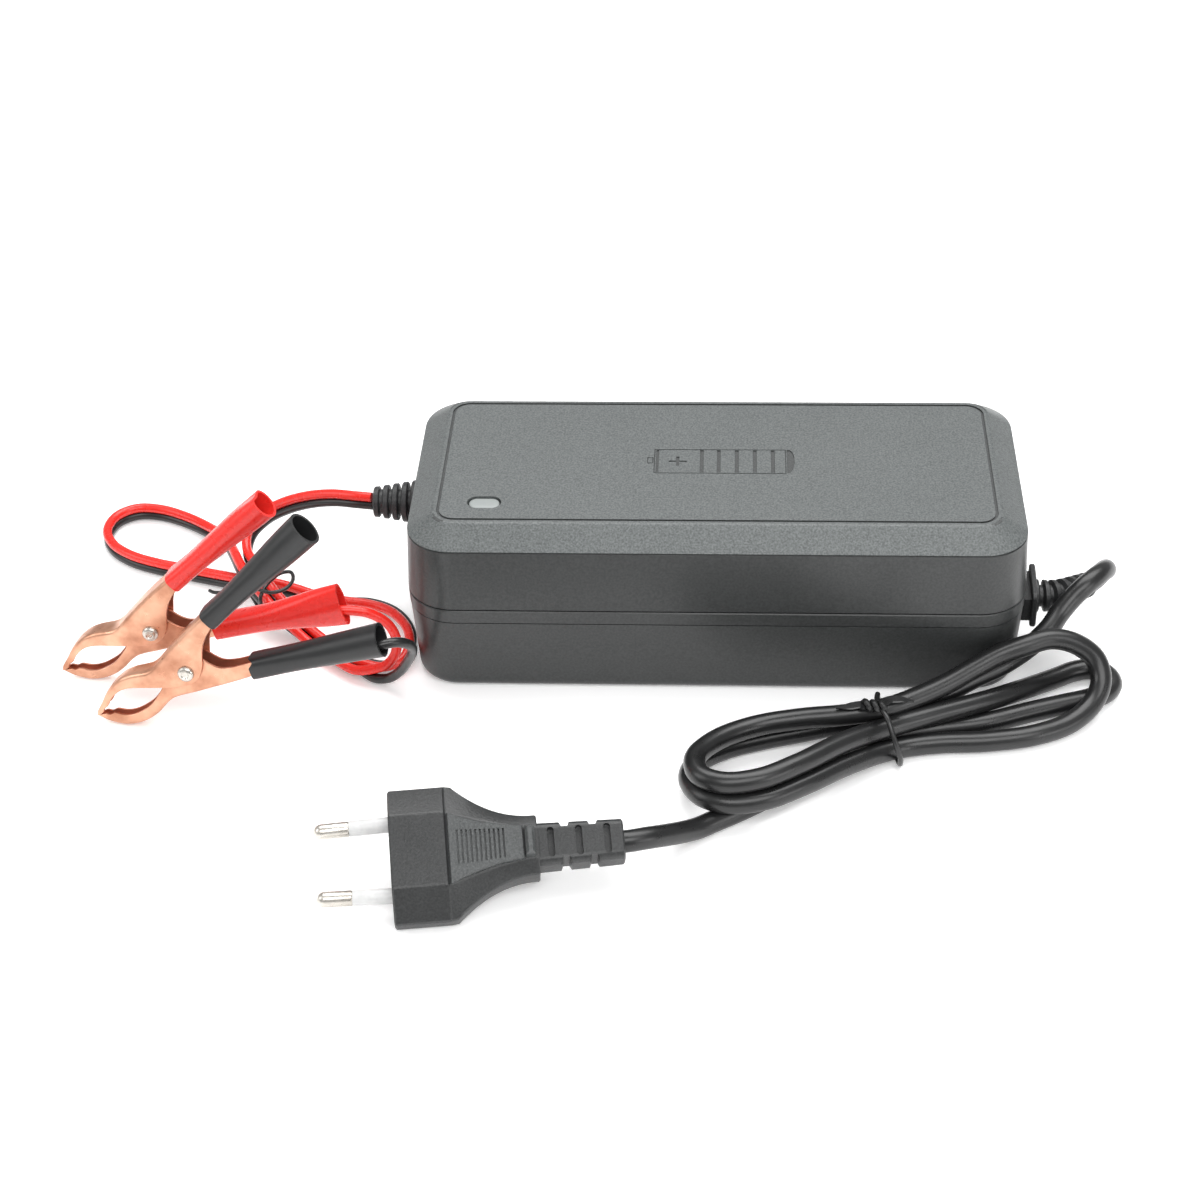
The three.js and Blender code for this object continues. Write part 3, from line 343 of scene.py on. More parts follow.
# The top's grooves and icon lines take a darker copy of the case plastic: painted shade in the recesses
CASE_RECESS_SHADED = textured("case_recess_painted_shade", (0.036, 0.038, 0.038), (0.066, 0.07, 0.07), 0.6, 2300, 0.07)
RUBBER = pvc("black_pvc", (0.011, 0.0112, 0.0115), 0.3)
MATT_RUBBER = textured("relief_rubber", (0.012, 0.0125, 0.013), (0.028, 0.029, 0.03), 0.5, 1800, 0.05)
BLACK_SLEEVE = pvc("black_sleeve", (0.016, 0.0165, 0.017), 0.36)
RED = pvc("red_pvc", (0.78, 0.022, 0.014), 0.28)
RED_SLEEVE = pvc("red_sleeve", (0.8, 0.03, 0.023), 0.28)
COPPER = plated("copper_plate", (0.47, 0.21, 0.125), (0.76, 0.42, 0.28), 0.34)
# The jaws' inner faces take a redder copy of the plating: painted shade inside the bent sheet, besides a
# rougher finish
COPPER_INSIDE_SHADED = plated("copper_inside_painted_shade", (0.52, 0.19, 0.11), (0.76, 0.34, 0.22), 0.42)
NICKEL = plated("nickel", (0.42, 0.39, 0.35), (0.62, 0.59, 0.54), 0.26, 0.003)
PLUG_GREY = textured("plug_pvc", (0.015, 0.0158, 0.016), (0.029, 0.0305, 0.031), 0.38, 1900, 0.09)
# The plug's raised panels take a lighter copy of the plug plastic: painted light on faces turned to the lamp
PLUG_PANEL_LIT = textured("plug_panel_painted_light", (0.042, 0.045, 0.0455), (0.082, 0.087, 0.087), 0.36, 1900, 0.09)
WHITE = textured("pin_sleeve", (0.55, 0.55, 0.55), (0.63, 0.63, 0.625), 0.35, 600, 0.01)
LENS = lens_material()
SLOT_MATERIALS = {
    "case": CASE_TOP,
    "black_rubber": RUBBER,
    "red_pvc": RED,
    "copper_plate": COPPER,
    "steel": NICKEL,
    "plug": PLUG_GREY,
    "white_plastic": WHITE,
    "lens": LENS,
    "board": textured("solder_mask", (0.008, 0.06, 0.02), (0.015, 0.11, 0.035), 0.35, 260, 0.03),
    "ferrite": textured("ferrite", (0.018, 0.017, 0.016), (0.045, 0.042, 0.04), 0.7, 1600, 0.05),
    "aluminium": plated("aluminium", (0.5, 0.51, 0.52), (0.72, 0.73, 0.74), 0.38),
    "tape": textured("winding_tape", (0.62, 0.38, 0.02), (0.78, 0.52, 0.05), 0.35, 300, 0.03),
    "can": textured("can_sleeve", (0.012, 0.035, 0.09), (0.02, 0.055, 0.13), 0.3, 300, 0.02),
    "ceramic": textured("ceramic_dip", (0.02, 0.14, 0.3), (0.035, 0.22, 0.42), 0.35, 500, 0.05),
    "epoxy": textured("moulding_compound", (0.01, 0.01, 0.01), (0.022, 0.022, 0.022), 0.55, 1500, 0.04),
    "glass": glass_material(),
    "magnet_wire": plated("magnet_wire", (0.35, 0.09, 0.03), (0.55, 0.17, 0.06), 0.3),
    "fish_paper": textured("fish_paper", (0.62, 0.57, 0.42), (0.74, 0.69, 0.55), 0.85, 700, 0.06),
}


# Mesh helpers
def linked(name, data):
    """A new object in the scene."""
    obj = bpy.data.objects.new(name, data)
    bpy.context.collection.objects.link(obj)
    return obj


def shaded(name, verts, faces, sharp):
    """A mesh object from points in millimetres, its faces turned outwards."""
    mesh = bpy.data.meshes.new(name)
    mesh.from_pydata([Vector(v) * MM for v in verts], [], faces)
    build = bmesh.new()
    build.from_mesh(mesh)
    bmesh.ops.recalc_face_normals(build, faces=build.faces)
    build.to_mesh(mesh)
    build.free()
    smoothed(mesh, sharp)
    return linked(name, mesh)


def piece(name, verts, faces, material, slot, body=ROOT, sharp=32.0):
    """A mesh that rides on a body, or on none yet where body is None."""
    obj = shaded(name, verts, faces, sharp)
    obj.data.materials.append(material)
    if body:
        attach(obj, body)
    return obj


def smoothed(mesh, sharp):
    """Smooth shading, except at edges sharper than an angle."""
    mesh.shade_smooth()
    mesh.set_sharp_from_angle(angle=radians(sharp))


def loft(rings, closed=False):
    """Vertices and faces of rings of equal count: capped at both ends, or joined end to end."""
    count = len(rings[0])
    verts = [point for ring in rings for point in ring]
    faces = []
    for ring in range(len(rings) if closed else len(rings) - 1):
        below, above = ring * count, (ring + 1) % len(rings) * count
        for i in range(count):
            j = (i + 1) % count
            faces.append((below + i, below + j, above + j, above + i))
    if not closed:
        faces.append(tuple(reversed(range(count))))
        faces.append(tuple(range((len(rings) - 1) * count, len(rings) * count)))
    return verts, faces


def rounded_ring(half_x, half_y, radius, z, centre=(0, 0), steps=12):
    """A rounded rectangle at a height, anticlockwise from above."""
    ring = []
    for sx, sy, start in ((1, -1, -90), (1, 1, 0), (-1, 1, 90), (-1, -1, 180)):
        for k in range(steps + 1):
            angle = radians(start + 90 * k / steps)
            x = sx * (half_x - radius) + radius * cos(angle)
            y = sy * (half_y - radius) + radius * sin(angle)
            ring.append((centre[0] + x, centre[1] + y, z))
    return ring


def tool(name, verts, faces):
    """A mesh that only cuts, and is removed when it has."""
    return shaded(name, verts, faces, 30)


def cut(obj, *tools, sharp=32.0):
    """Takes the tools' solids out of a piece's mesh."""
    for cutter in tools:
        boolean = obj.modifiers.new("cut", "BOOLEAN")
        boolean.operation = "DIFFERENCE"
        boolean.solver = "EXACT"
        boolean.object = cutter
    graph = bpy.context.evaluated_depsgraph_get()
    mesh = bpy.data.meshes.new_from_object(obj.evaluated_get(graph))
    obj.modifiers.clear()
    obj.data = mesh
    smoothed(mesh, sharp)
    for cutter in tools:
        bpy.data.objects.remove(cutter)


def even_normals(obj):
    """Keeps the large faces flat to the eye where small rounds meet them."""
    modifier = obj.modifiers.new("even", "WEIGHTED_NORMAL")
    modifier.keep_sharp = True
    modifier.weight = 90


def prism(points, z0, z1):
    """Vertices and faces of a flat outline with a height."""
    return loft([[(x, y, z) for x, y in points] for z in (z0, z1)])


def corners(x0, x1, y0, y1):
    return [(x0, y0), (x1, y0), (x1, y1), (x0, y1)]


def slab(x0, x1, y0, y1, z0, z1):
    """Vertices and faces of a box."""
    return prism(corners(x0, x1, y0, y1), z0, z1)


def merged(parts):
    """Several (vertices, faces) as one."""
    verts, faces = [], []
    for part_verts, part_faces in parts:
        start = len(verts)
        verts.extend(part_verts)
        faces.extend(tuple(i + start for i in face) for face in part_faces)
    return verts, faces


def lathe(profile, sides=40):
    """A closed profile of (radius, height) turned round Z. Ends on the axis are capped."""
    return [[(r * cos(a), r * sin(a), height) for a in circle(sides)] for r, height in profile]


def circle(sides):
    """The angles of a ring's points."""
    return [2 * pi * k / sides for k in range(sides)]


def turned(degrees, axis):
    return Matrix.Rotation(radians(degrees), 4, axis)


def placed(part, matrix):
    verts, faces = part
    return [matrix @ Vector(v) for v in verts], faces


def heading(line, i):
    """The unit direction of a line of points at one of them."""
    return (line[min(i + 1, len(line) - 1)] - line[max(i - 1, 0)]).normalized()


def square_to(along, across=(0, 0, 1)):
    """Two directions square to a third. The first is also square to the one across."""
    side = along.cross(Vector(across)).normalized()
    return side, along.cross(side)


def sweep_rings(line, radii, sides, across=(0, 0, 1)):
    """Round rings square to a line of points."""
    rings = []
    for i, centre in enumerate(line):
        side, rise = square_to(heading(line, i), across)
        rings.append([centre + radii[i] * (side * cos(a) + rise * sin(a)) for a in circle(sides)])
    return rings


def spline_points(points, steps):
    """A centripetal Catmull-Rom curve through the points, any number of coordinates each."""
    line = [Vector(p) for p in points]
    line = [2 * line[0] - line[1], *line, 2 * line[-1] - line[-2]]
    out = []
    for i in range(1, len(line) - 2):
        p0, p1, p2, p3 = line[i - 1 : i + 3]
        t1 = (p1 - p0).length ** 0.5
        t2 = t1 + (p2 - p1).length ** 0.5
        t3 = t2 + (p3 - p2).length ** 0.5
        for k in range(steps):
            t = t1 + (t2 - t1) * k / steps
            a1 = p0 * ((t1 - t) / t1) + p1 * (t / t1)
            a2 = p1 * ((t2 - t) / (t2 - t1)) + p2 * ((t - t1) / (t2 - t1))
            a3 = p2 * ((t3 - t) / (t3 - t2)) + p3 * ((t - t2) / (t3 - t2))
            b1 = a1 * ((t2 - t) / t2) + a2 * (t / t2)
            b2 = a2 * ((t3 - t) / (t3 - t1)) + a3 * ((t - t1) / (t3 - t1))
            out.append(b1 * ((t2 - t) / (t2 - t1)) + b2 * ((t - t1) / (t2 - t1)))
    out.append(line[-2])
    return out


def wire(name, points, diameter, material, steps=6, resolution=6):
    """A round cord or wire as a curve through the points."""
    curve = bpy.data.curves.new(name, "CURVE")
    curve.dimensions = "3D"
    curve.bevel_depth = diameter / 2 * MM
    curve.bevel_resolution = resolution
    curve.use_fill_caps = True
    route = spline_points(points, steps)
    spline = curve.splines.new("POLY")
    spline.points.add(len(route) - 1)
    for place, point in zip(spline.points, route):
        place.co = (*(point * MM), 1)
    spline.use_smooth = True
    curve.materials.append(material)
    obj = linked(name, curve)
    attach(obj, ROOT)
    return obj


# Camera, light and floor
def make_camera():
    """The viewpoint, from a fit to the case's outline and the plug."""
    yaw, pitch, roll = (radians(a) for a in CAMERA["turn"])
    forward = Vector((sin(yaw) * cos(pitch), cos(yaw) * cos(pitch), -sin(pitch)))
    level = Vector((cos(yaw), -sin(yaw), 0))
    rise = level.cross(forward)
    right = level * cos(roll) + rise * sin(roll)
    up = rise * cos(roll) - level * sin(roll)
    data = bpy.data.cameras.new("camera")
    data.lens = CAMERA["lens"]
    data.clip_start = 0.01
    camera = linked("camera", data)
    turn = Matrix((right, up, -forward)).transposed().to_4x4()
    camera.matrix_world = Matrix.Translation(Vector(CAMERA["place"]) * MM) @ turn
    bpy.context.scene.camera = camera


def area_light(name, place, size, power):
    """A rectangular light that faces the origin. Place and size are in metres."""
    data = bpy.data.lights.new(name, "AREA")
    data.shape = "RECTANGLE"
    data.size, data.size_y = size
    data.energy = power
    light = linked(name, data)
    light.location = place
    light.rotation_euler = (-Vector(place)).to_track_quat("-Z", "Y").to_euler()


def make_light():
    scene = bpy.context.scene
    scene.view_settings.view_transform = "Standard"
    world = bpy.data.worlds.new("studio")
    world.use_nodes = True
    background = world.node_tree.nodes["Background"]
    background.inputs["Color"].default_value = (1, 1, 1, 1)
    background.inputs["Strength"].default_value = 0.42
    scene.world = world
    area_light("overhead", (0.1, 0.4, 1.1), (1.3, 0.8), 15.5)
    area_light("left_fill", (-1.1, -0.3, 0.7), (0.7, 0.7), 4)
    area_light("front_fill", (0.2, -0.8, 1.05), (1.3, 0.6), 10.5)
    area_light("right_fill", (0.9, -0.7, 0.3), (0.5, 0.4), 2.2)


def make_floor():
    square = corners(-FLOOR_HALF, FLOOR_HALF, -FLOOR_HALF, FLOOR_HALF)
    mesh = bpy.data.meshes.new("floor")
    mesh.from_pydata([Vector((x, y, FLOOR_Z)) * MM for x, y in square], [], [(0, 1, 2, 3)])
    mesh.materials.append(floor_material())
    linked("floor", mesh)


# Case
def case_ring(z, outset):
    """The case's outline at a height, grown by an outset."""
    radius = max(CORNER_RADIUS + outset, 1)
    return rounded_ring(CASE_LENGTH / 2 + outset, CASE_DEPTH / 2 + outset, radius, z)


def wall_outset(z):
    if z <= PARTING_Z:
        return -FOOT_INSET + (PARTING_FLARE + FOOT_INSET) * z / PARTING_Z
    return PARTING_FLARE * (1 - (z - PARTING_Z) / (CHAMFER_FOOT_Z - PARTING_Z))


def foot_rings(steps=6):
    """A quarter round from the underside up to the wall."""
    low, high = wall_outset(0) - FOOT_RADIUS, wall_outset(FOOT_RADIUS)
    angles = [pi / 2 * k / steps for k in range(steps, -1, -1)]
    return [case_ring(FOOT_RADIUS - FOOT_RADIUS * sin(a), low + (high - low) * cos(a)) for a in angles]


def base_rings():
    rim = PARTING_Z - SEAM
    lip = rim - LIP_HEIGHT
    rows = [(lip - 0.35, wall_outset(lip)), (lip - 0.3, wall_outset(lip) - 0.2)]
    rows += [(lip - 0.05, wall_outset(lip) - 0.2), (lip, wall_outset(lip) + 0.12)]
    rows += [(rim - 0.3, wall_outset(rim)), (rim, wall_outset(rim) - 0.25)]
    return foot_rings() + [case_ring(z, outset) for z, outset in rows]


def cover_rings():
    rim = PARTING_Z + SEAM
    foot = CHAMFER_FOOT_Z
    rows = [(rim, wall_outset(rim) - 0.25), (rim + 0.3, wall_outset(rim))]
    rows += [(foot - 0.75, wall_outset(foot - 0.75) - 0.05), (foot - 0.5, -0.35), (foot - 0.3, -0.3)]
    rows += [(foot - 0.1, 0.02), (foot + 0.2, -0.12), (CASE_HEIGHT - 0.35, -CHAMFER_INSET + 0.5)]
    rows += [(CASE_HEIGHT - 0.1, -CHAMFER_INSET + 0.05), (CASE_HEIGHT, -CHAMFER_INSET - 0.4)]
    return [case_ring(z, outset) for z, outset in rows]


def case_cavity(z0, z1, low_inset, high_inset):
    return loft([case_ring(z0, wall_outset(z0) - low_inset), case_ring(z1, wall_outset(z1) - high_inset)])


def groove_tool():
    """A closed channel that follows the panel's edge."""
    inset, radius, width, depth = GROOVE.values()
    low, high = CASE_HEIGHT - depth, CASE_HEIGHT + 1
    half_x, half_y = CASE_LENGTH / 2 - inset, CASE_DEPTH / 2 - inset
    outer = [rounded_ring(half_x, half_y, radius, z) for z in (low, high)]
    inner = [rounded_ring(half_x - width, half_y - width, radius - width, z) for z in (high, low)]
    return tool("groove", *loft([*outer, *inner], closed=True))


def icon_tool():
    """Recesses that draw a plain battery: nub, case, plus sign, dividers and a rounded end."""
    line = 0.3
    low, high = CASE_HEIGHT - line, CASE_HEIGHT + 1
    left, right, front, back = -17.3, 19.4, -6.4, 5.6

    def frame_line(x0, x1, y0, y1):
        outer = corners(x0, x1, y0, y1)
        inner = corners(x0 + line, x1 - line, y0 + line, y1 - line)
        levels = ((outer, low), (outer, high), (inner, high), (inner, low))
        return loft([[(x, y, z) for x, y in ring] for ring, z in levels], closed=True)

    def plus(x, y):
        reach_x, reach_y, half_x, half_y = 2.5, 2.3, 0.3, 0.45
        corner = [(half_y, half_x), (half_y, reach_y), (-half_y, reach_y), (-half_y, half_x)]
        corner += [(-reach_x, half_x), (-reach_x, -half_x), (-half_y, -half_x), (-half_y, -reach_y)]
        corner += [(half_y, -reach_y), (half_y, -half_x), (reach_x, -half_x), (reach_x, half_x)]
        return prism([(x + dx, y + dy) for dx, dy in corner], low, high)

    recesses = [frame_line(left, right, front, back), frame_line(left - 1.9, left - 0.15, -1.5, 1.5)]
    recesses.append(plus(-10.7, -0.4))
    dividers = [(-16.35, 0.8), (-4, 1.1), (0.7, 1.1), (5.7, 1.1), (10.7, 1.1), (15.7, 1.1)]
    for x, width in dividers:
        recesses.append(slab(x - width / 2, x + width / 2, front + 0.45, back - 0.45, low, high))
    end_cap = [(19.6, 5.5), (19.6, -6.2), (20.4, -5.9), (21.3, -4.2)]
    end_cap += [(21.7, -1.1), (21.7, 2), (21.2, 4.4), (20.5, 5.4)]
    recesses.append(prism(end_cap, low, high))
    return tool("icon", *merged(recesses))


def stadium(length, width, z):
    return rounded_ring(length / 2, width / 2, width / 2 - 0.01, z, (LED["x"], LED["y"]), 10)


def paint_case(obj):
    """Grained above the chamfer's foot; below it a satin copy with painted shade, far darker; in the top's
    grooves a darker copy with painted shade.
    """
    mesh = obj.data
    mesh.materials.clear()
    for material in (CASE_TOP, CASE_SIDE_SHADED, CASE_RECESS_SHADED):
        mesh.materials.append(material)
    for face in mesh.polygons:
        x, y, z = face.center / MM
        # Faces in the top's grooves get the darker copy: painted shade
        in_groove = CASE_HEIGHT - 1 < z < CASE_HEIGHT - 0.02 and abs(x) < PANEL[0] and abs(y) < PANEL[1]
        # Faces below the chamfer's foot get the far darker side copy: painted shade
        grained = z > CHAMFER_FOOT_Z - 0.15
        face.material_index = 2 if in_groove else 0 if grained else 1
    even_normals(obj)


def make_case():
    base = piece("base_shell_skin", *loft(base_rings()), CASE_TOP, "case")
    hollow = tool("base_hollow", *case_cavity(WALL, PARTING_Z + 2, WALL + 1, WALL))
    screw_holes = []
    for centre in [(sx * SCREW["x"], sy * SCREW["y"]) for sx in (-1, 1) for sy in (-1, 1)]:
        rings = [rounded_ring(3.1, 3.1, 3.05, z, centre, 6) for z in (-1, WALL + 1)]
        screw_holes.append(tool("screw_hole", *loft(rings)))
    mains_hole = tool("mains_hole", *slab(80, 90, *AC_OPENING))
    cut(base, hollow, mains_hole, *screw_holes)
    paint_case(base)
    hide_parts("base_shell")

    cover = piece("top_cover_skin", *loft(cover_rings()), CASE_TOP, "case")
    hollow = tool("cover_hollow", *case_cavity(PARTING_Z - 1, CASE_HEIGHT - WALL, WALL, WALL + 4))
    slot_rings = [stadium(LED["length"], LED["width"], CASE_HEIGHT + rise) for rise in (-4, 1)]
    y, z, hole = DC_RELIEF["y"], DC_RELIEF["z"], DC_RELIEF["hole"]
    round_hole = [(y + hole * cos(a), z + hole * sin(a)) for a in circle(24)]
    lead_hole = tool("lead_hole", *loft([[(x, hy, hz) for hy, hz in round_hole] for x in (-90, -78)]))
    led_slot = tool("led_slot", *loft(slot_rings))
    cut(cover, hollow, groove_tool(), led_slot, icon_tool(), lead_hole)
    paint_case(cover)
    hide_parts("top_cover")


def make_led():
    gap = 0.4
    length, width = LED["length"] - 2 * gap, LED["width"] - 2 * gap
    top = CASE_HEIGHT - 0.25
    rings = [stadium(length, width, CASE_HEIGHT - 3.2), stadium(length, width, top - 0.5)]
    for inset, drop in ((0.15, 0.2), (0.45, 0.05), (0.9, 0)):
        rings.append(stadium(length - 2 * inset, width - 2 * inset, top - drop))
    lens = piece("led_lens", *loft(rings), LENS, "lens")
    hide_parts("led_window")


# Strain reliefs
def make_dc_relief():
    """A ribbed cone that stands out of the left wall."""
    first, last, core, ribs = (DC_RELIEF[key] for key in ("first", "last", "core", "ribs"))
    profile = [(0, -4.6), (6, -4.6), (6, -3.1), (4.2, -3.1), (4.2, 0.2)]
    for i in range(ribs):
        start = DC_RELIEF["start"] + i * DC_RELIEF["pitch"]
        end = start + DC_RELIEF["rib"]
        radius = first + (last - first) * i / (ribs - 1)
        profile += [(core, start), (radius - 0.35, start), (radius, start + 0.3)]
        profile += [(radius - 0.1, end - 0.3), (radius - 0.45, end), (core, end)]
    profile[-1] = (CORE_DIAMETER / 2 + 0.2, end)
    profile.append((0, end))
    place = Matrix.Translation((-CASE_LENGTH / 2 - PARTING_FLARE, DC_RELIEF["y"], DC_RELIEF["z"]))
    shape = placed(loft(lathe(profile)), place @ turned(-90, "Y"))
    relief = piece("dc_relief_rubber", *shape, MATT_RUBBER, "black_rubber")
    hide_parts("dc_strain_relief")
    return relief


def make_ac_relief():
    """A flange against the base shell's wall, a neck, and a ribbed taper that bends forwards."""
    f = AC_FLANGE
    half = f["thick"] / 2
    upright = Matrix.Translation((f["x"] + half, f["y"], f["z"])) @ turned(f["tilt"], "Z") @ turned(90, "Y")
    rims = [(-half, 0.3), (-half + 0.3, 0), (half - 0.3, 0), (half, 0.3)]
    plate = loft([rounded_ring(f["height"] / 2 - i, f["width"] / 2 - i, 1.6, z, steps=6) for z, i in rims])
    stub = slab(*AC_STUB)
    line = spline_points(AC_RELIEF_LINE, 12)
    taper = loft(sweep_rings(line, [taper_radius(i / (len(line) - 1)) for i in range(len(line))], 28))
    shape = merged([placed(plate, upright), stub, taper])
    relief = piece("ac_relief_rubber", *shape, MATT_RUBBER, "black_rubber")
    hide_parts("ac_strain_relief")
    return relief


def taper_radius(share):
    """The ribbed taper's radius at a share of its length."""
    t = AC_TAPER
    outer = t["first"] + (t["last"] - t["first"]) * share
    rib = (share * t["ribs"]) % 1
    edge = min(rib / t["round"], (t["rib"] - rib) / t["round"], 1)
    return t["core"] + (outer - t["core"]) * max(edge, 0) ** 0.5


# Plug
def plug_matrix():
    return Matrix.Translation(PLUG_FACE) @ turned(PLUG_HEADING, "Z") @ turned(PLUG_ROLL, "X")


def plug_section(x, face, thick, wide, edge, corner=0.5):
    """An eight-sided section with small rounds at its corners."""
    sharp = [(wide, -edge), (wide, edge), (face, thick), (-face, thick)]
    sharp += [(-wide, edge), (-wide, -edge), (-face, -thick), (face, -thick)]
    ring = []
    for i, here in enumerate(sharp):
        here = Vector(here)
        for other in (sharp[i - 1], sharp[(i + 1) % 8]):
            away = Vector(other) - here
            place = here + away.normalized() * min(corner, away.length / 3)
            ring.append((x, place.x, place.y))
    return ring


def plug_profile():
    """Sections from the pin face to the collar: a block, a step, and a waist that narrows in a curve."""
    sections = [(0, 9.0, 6.45, 17.1, 2.0), (0.45, 9.4, 6.85, 17.6, 2.2), (13.9, 9.4, 6.85, 17.6, 2.2)]
    sections += [(14.2, 9.3, 6.1, 17.6, 2.2), (14.6, 9.2, 5.8, 17.55, 2.2), (16, 9.0, 5.75, 17.3, 2.2)]
    for k in range(1, 15):
        share = k / 14
        curve = (1 - share) ** 2.1
        wide = 7.8 + (17.3 - 7.8) * curve
        face = 3.9 + (9.0 - 3.9) * (1 - share) ** 1.4
        sections.append((16 + share * (PLUG_BODY - 16.4), face, 5.75 - 0.1 * share, wide, 2.2 + 1.4 * share))
    sections.append((PLUG_BODY, 3.7, 5.6, 7.5, 3.4))
    return loft([plug_section(*section) for section in sections])


def make_plug_relief():
    """The flexible end: a rounded bar with slots through its broad faces and notches in its edges."""
    sections = []
    for x, inset in ((PLUG_BODY - 1, 0.2), (PLUG_BODY + 0.3, 0), (PLUG_LENGTH - 0.4, 0), (PLUG_LENGTH, 0.4)):
        share = (x - PLUG_BODY) / (PLUG_LENGTH - PLUG_BODY)
        sections.append(_plug_ring(x, 5.6 - 0.4 * share - inset, 4.7 - 0.4 * share - inset))
    bar = piece("plug_relief", *placed(loft(sections), plug_matrix()), PLUG_GREY, "plug", sharp=30)
    cuts = []
    for x in (40.2, 47.3, 54.4):
        for side in (-1, 1):
            cuts.append(loft([rounded_ring(0.85, 3.9, 0.8, side * z, (x, 0), 5) for z in (2.9, 7)]))
    for x in (43.8, 50.9):
        for side in (-1, 1):
            notch = [(x - 0.8, side * 3.9), (x + 0.8, side * 3.9), (x + 1.9, side * 7), (x - 1.9, side * 7)]
            cuts.append(prism(notch, -8, 8))
    cut(bar, tool("relief_slots", *placed(merged(cuts), plug_matrix())), sharp=30)
    even_normals(bar)
    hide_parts("plug_body")
    return bar


def _plug_ring(x, half_width, half_height):
    return [(x, px, py) for px, py, _ in rounded_ring(half_width, half_height, 2.0, 0, steps=5)]


def make_plug_panels():
    """The raised trapezoid on each broad face, cut by grip grooves, and the bevelled stop by the collar, in a
    lighter copy of the plug plastic: painted light.
    """
    parts, grooves = [], []
    for side in (-1, 1):
        rings = []
        for z, inset in ((5, 0), (6.1, 0.05), (6.35, 0.3)):
            edge = [(14.6, -9.3), (18.5, -7.7), (23, -6.2), (28, -5), (33.4, -4.3)]
            outline = [(x, y + inset) for x, y in edge] + [(x, -y - inset) for x, y in reversed(edge)]
            rows = [(min(max(x, 14.6 + inset), 33.4 - inset), y) for x, y in outline]
            rings.append([(x, y, (z + 0.045 * (x - 14.6)) * side) for x, y in rows])
        parts.append(loft(rings))
        stop = []
        for z, inset in ((5, 0), (8.2, 0.1), (9.4, 0.8)):
            outline = corners(33.7 + inset, 36.3 - inset, -3.9 + inset, 3.9 - inset)
            stop.append([(x, y, z * side) for x, y in outline])
        parts.append(loft(stop))
        for k in range(11):
            x, half = 16.7 + 1.15 * k, 4.5 - 0.07 * k
            grooves.append(slab(x, x + 0.5, -half, half, side * 5.9, side * 8))
    panels = piece("plug_panels", *placed(merged(parts), plug_matrix()), PLUG_PANEL_LIT, "plug", sharp=24)
    cut(panels, tool("grip_grooves", *placed(merged(grooves), plug_matrix())), sharp=24)
    even_normals(panels)
    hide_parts("plug_body")
    return panels


def pin_matrix(side):
    lean = atan2((PIN["base"] - PIN["tip"]) / 2, PIN["length"])
    turn = Matrix.Rotation(pi + side * lean, 4, "Z") @ turned(90, "Y")
    return plug_matrix() @ Matrix.Translation((0, side * PIN["base"] / 2, 0)) @ turn


def make_plug():
    plug = piece("plug_moulding", *placed(plug_profile(), plug_matrix()), PLUG_GREY, "plug", sharp=34)
    even_normals(plug)
    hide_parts("plug_body")
    pieces = [plug, make_plug_relief(), make_plug_panels()]
    r, length, sleeve = PIN["radius"], PIN["length"], PIN["sleeve"]
    for number, side in ((1, 1), (2, -1)):
        tip = [(r * cos(a), length - r + r * sin(a)) for a in (0, 0.3, 0.6, 0.9, 1.2, 1.45)]
        metal = [(0, -0.3), (r - 0.5, -0.3), (r - 0.5, sleeve), (r - 0.12, sleeve + 0.1)]
        metal += [(r, sleeve + 0.35), *tip, (0, length)]
        shape = placed(loft(lathe(metal)), pin_matrix(side))
        pin = piece(f"plug_pin_{number}_metal", *shape, NICKEL, "steel")
        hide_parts(f"plug_pin_{number}")
        tube = [(r - 0.45, 0.05), (r + 0.02, 0.05), (r + 0.02, sleeve - 0.15)]
        tube += [(r - 0.1, sleeve + 0.05), (r - 0.45, sleeve + 0.05)]
        cover = loft(lathe(tube), closed=True)
        shell = piece(f"plug_pin_{number}_sleeve", *placed(cover, pin_matrix(side)), WHITE, "white_plastic")
        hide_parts(f"plug_pin_sleeve_{number}")
        pieces += [pin, shell]
    return pieces


# Clips
def clip_matrix(colour):
    pose = CLIP_POSES[colour]
    turns = turned(pose["yaw"], "Z") @ turned(-pose["lean"], "X") @ turned(-pose["incline"], "Y")
    return Matrix.Translation(pose["rivet"]) @ turns


def jaw_width(x):
    """The sheet's share of its full width: narrow at the teeth, full at the rivet, less in the grip."""
    if x < -6:
        return 1 - 0.5 * ((-6 - x) / 26) ** 1.3
    return 1 - 0.14 * min(max((x - 12) / 20, 0), 1)


def channel(rows, full_half_width):
    """Bent sheet: a U section at each row, its back on the first point and its flanges down to the second."""
    rings = []
    for row in spline_points(rows, 4):
        back, edge = Vector(row[:2]), Vector(row[2:])
        half_width = full_half_width * jaw_width(back.x)
        down = (edge - back).normalized()
        depth = (edge - back).length
        bend = min(1.1, depth * 0.6)
        section = _u_section(half_width, depth, bend)
        rings.append([(back.x + down.x * s, y, back.y + down.y * s) for y, s in section])
    return loft(rings)


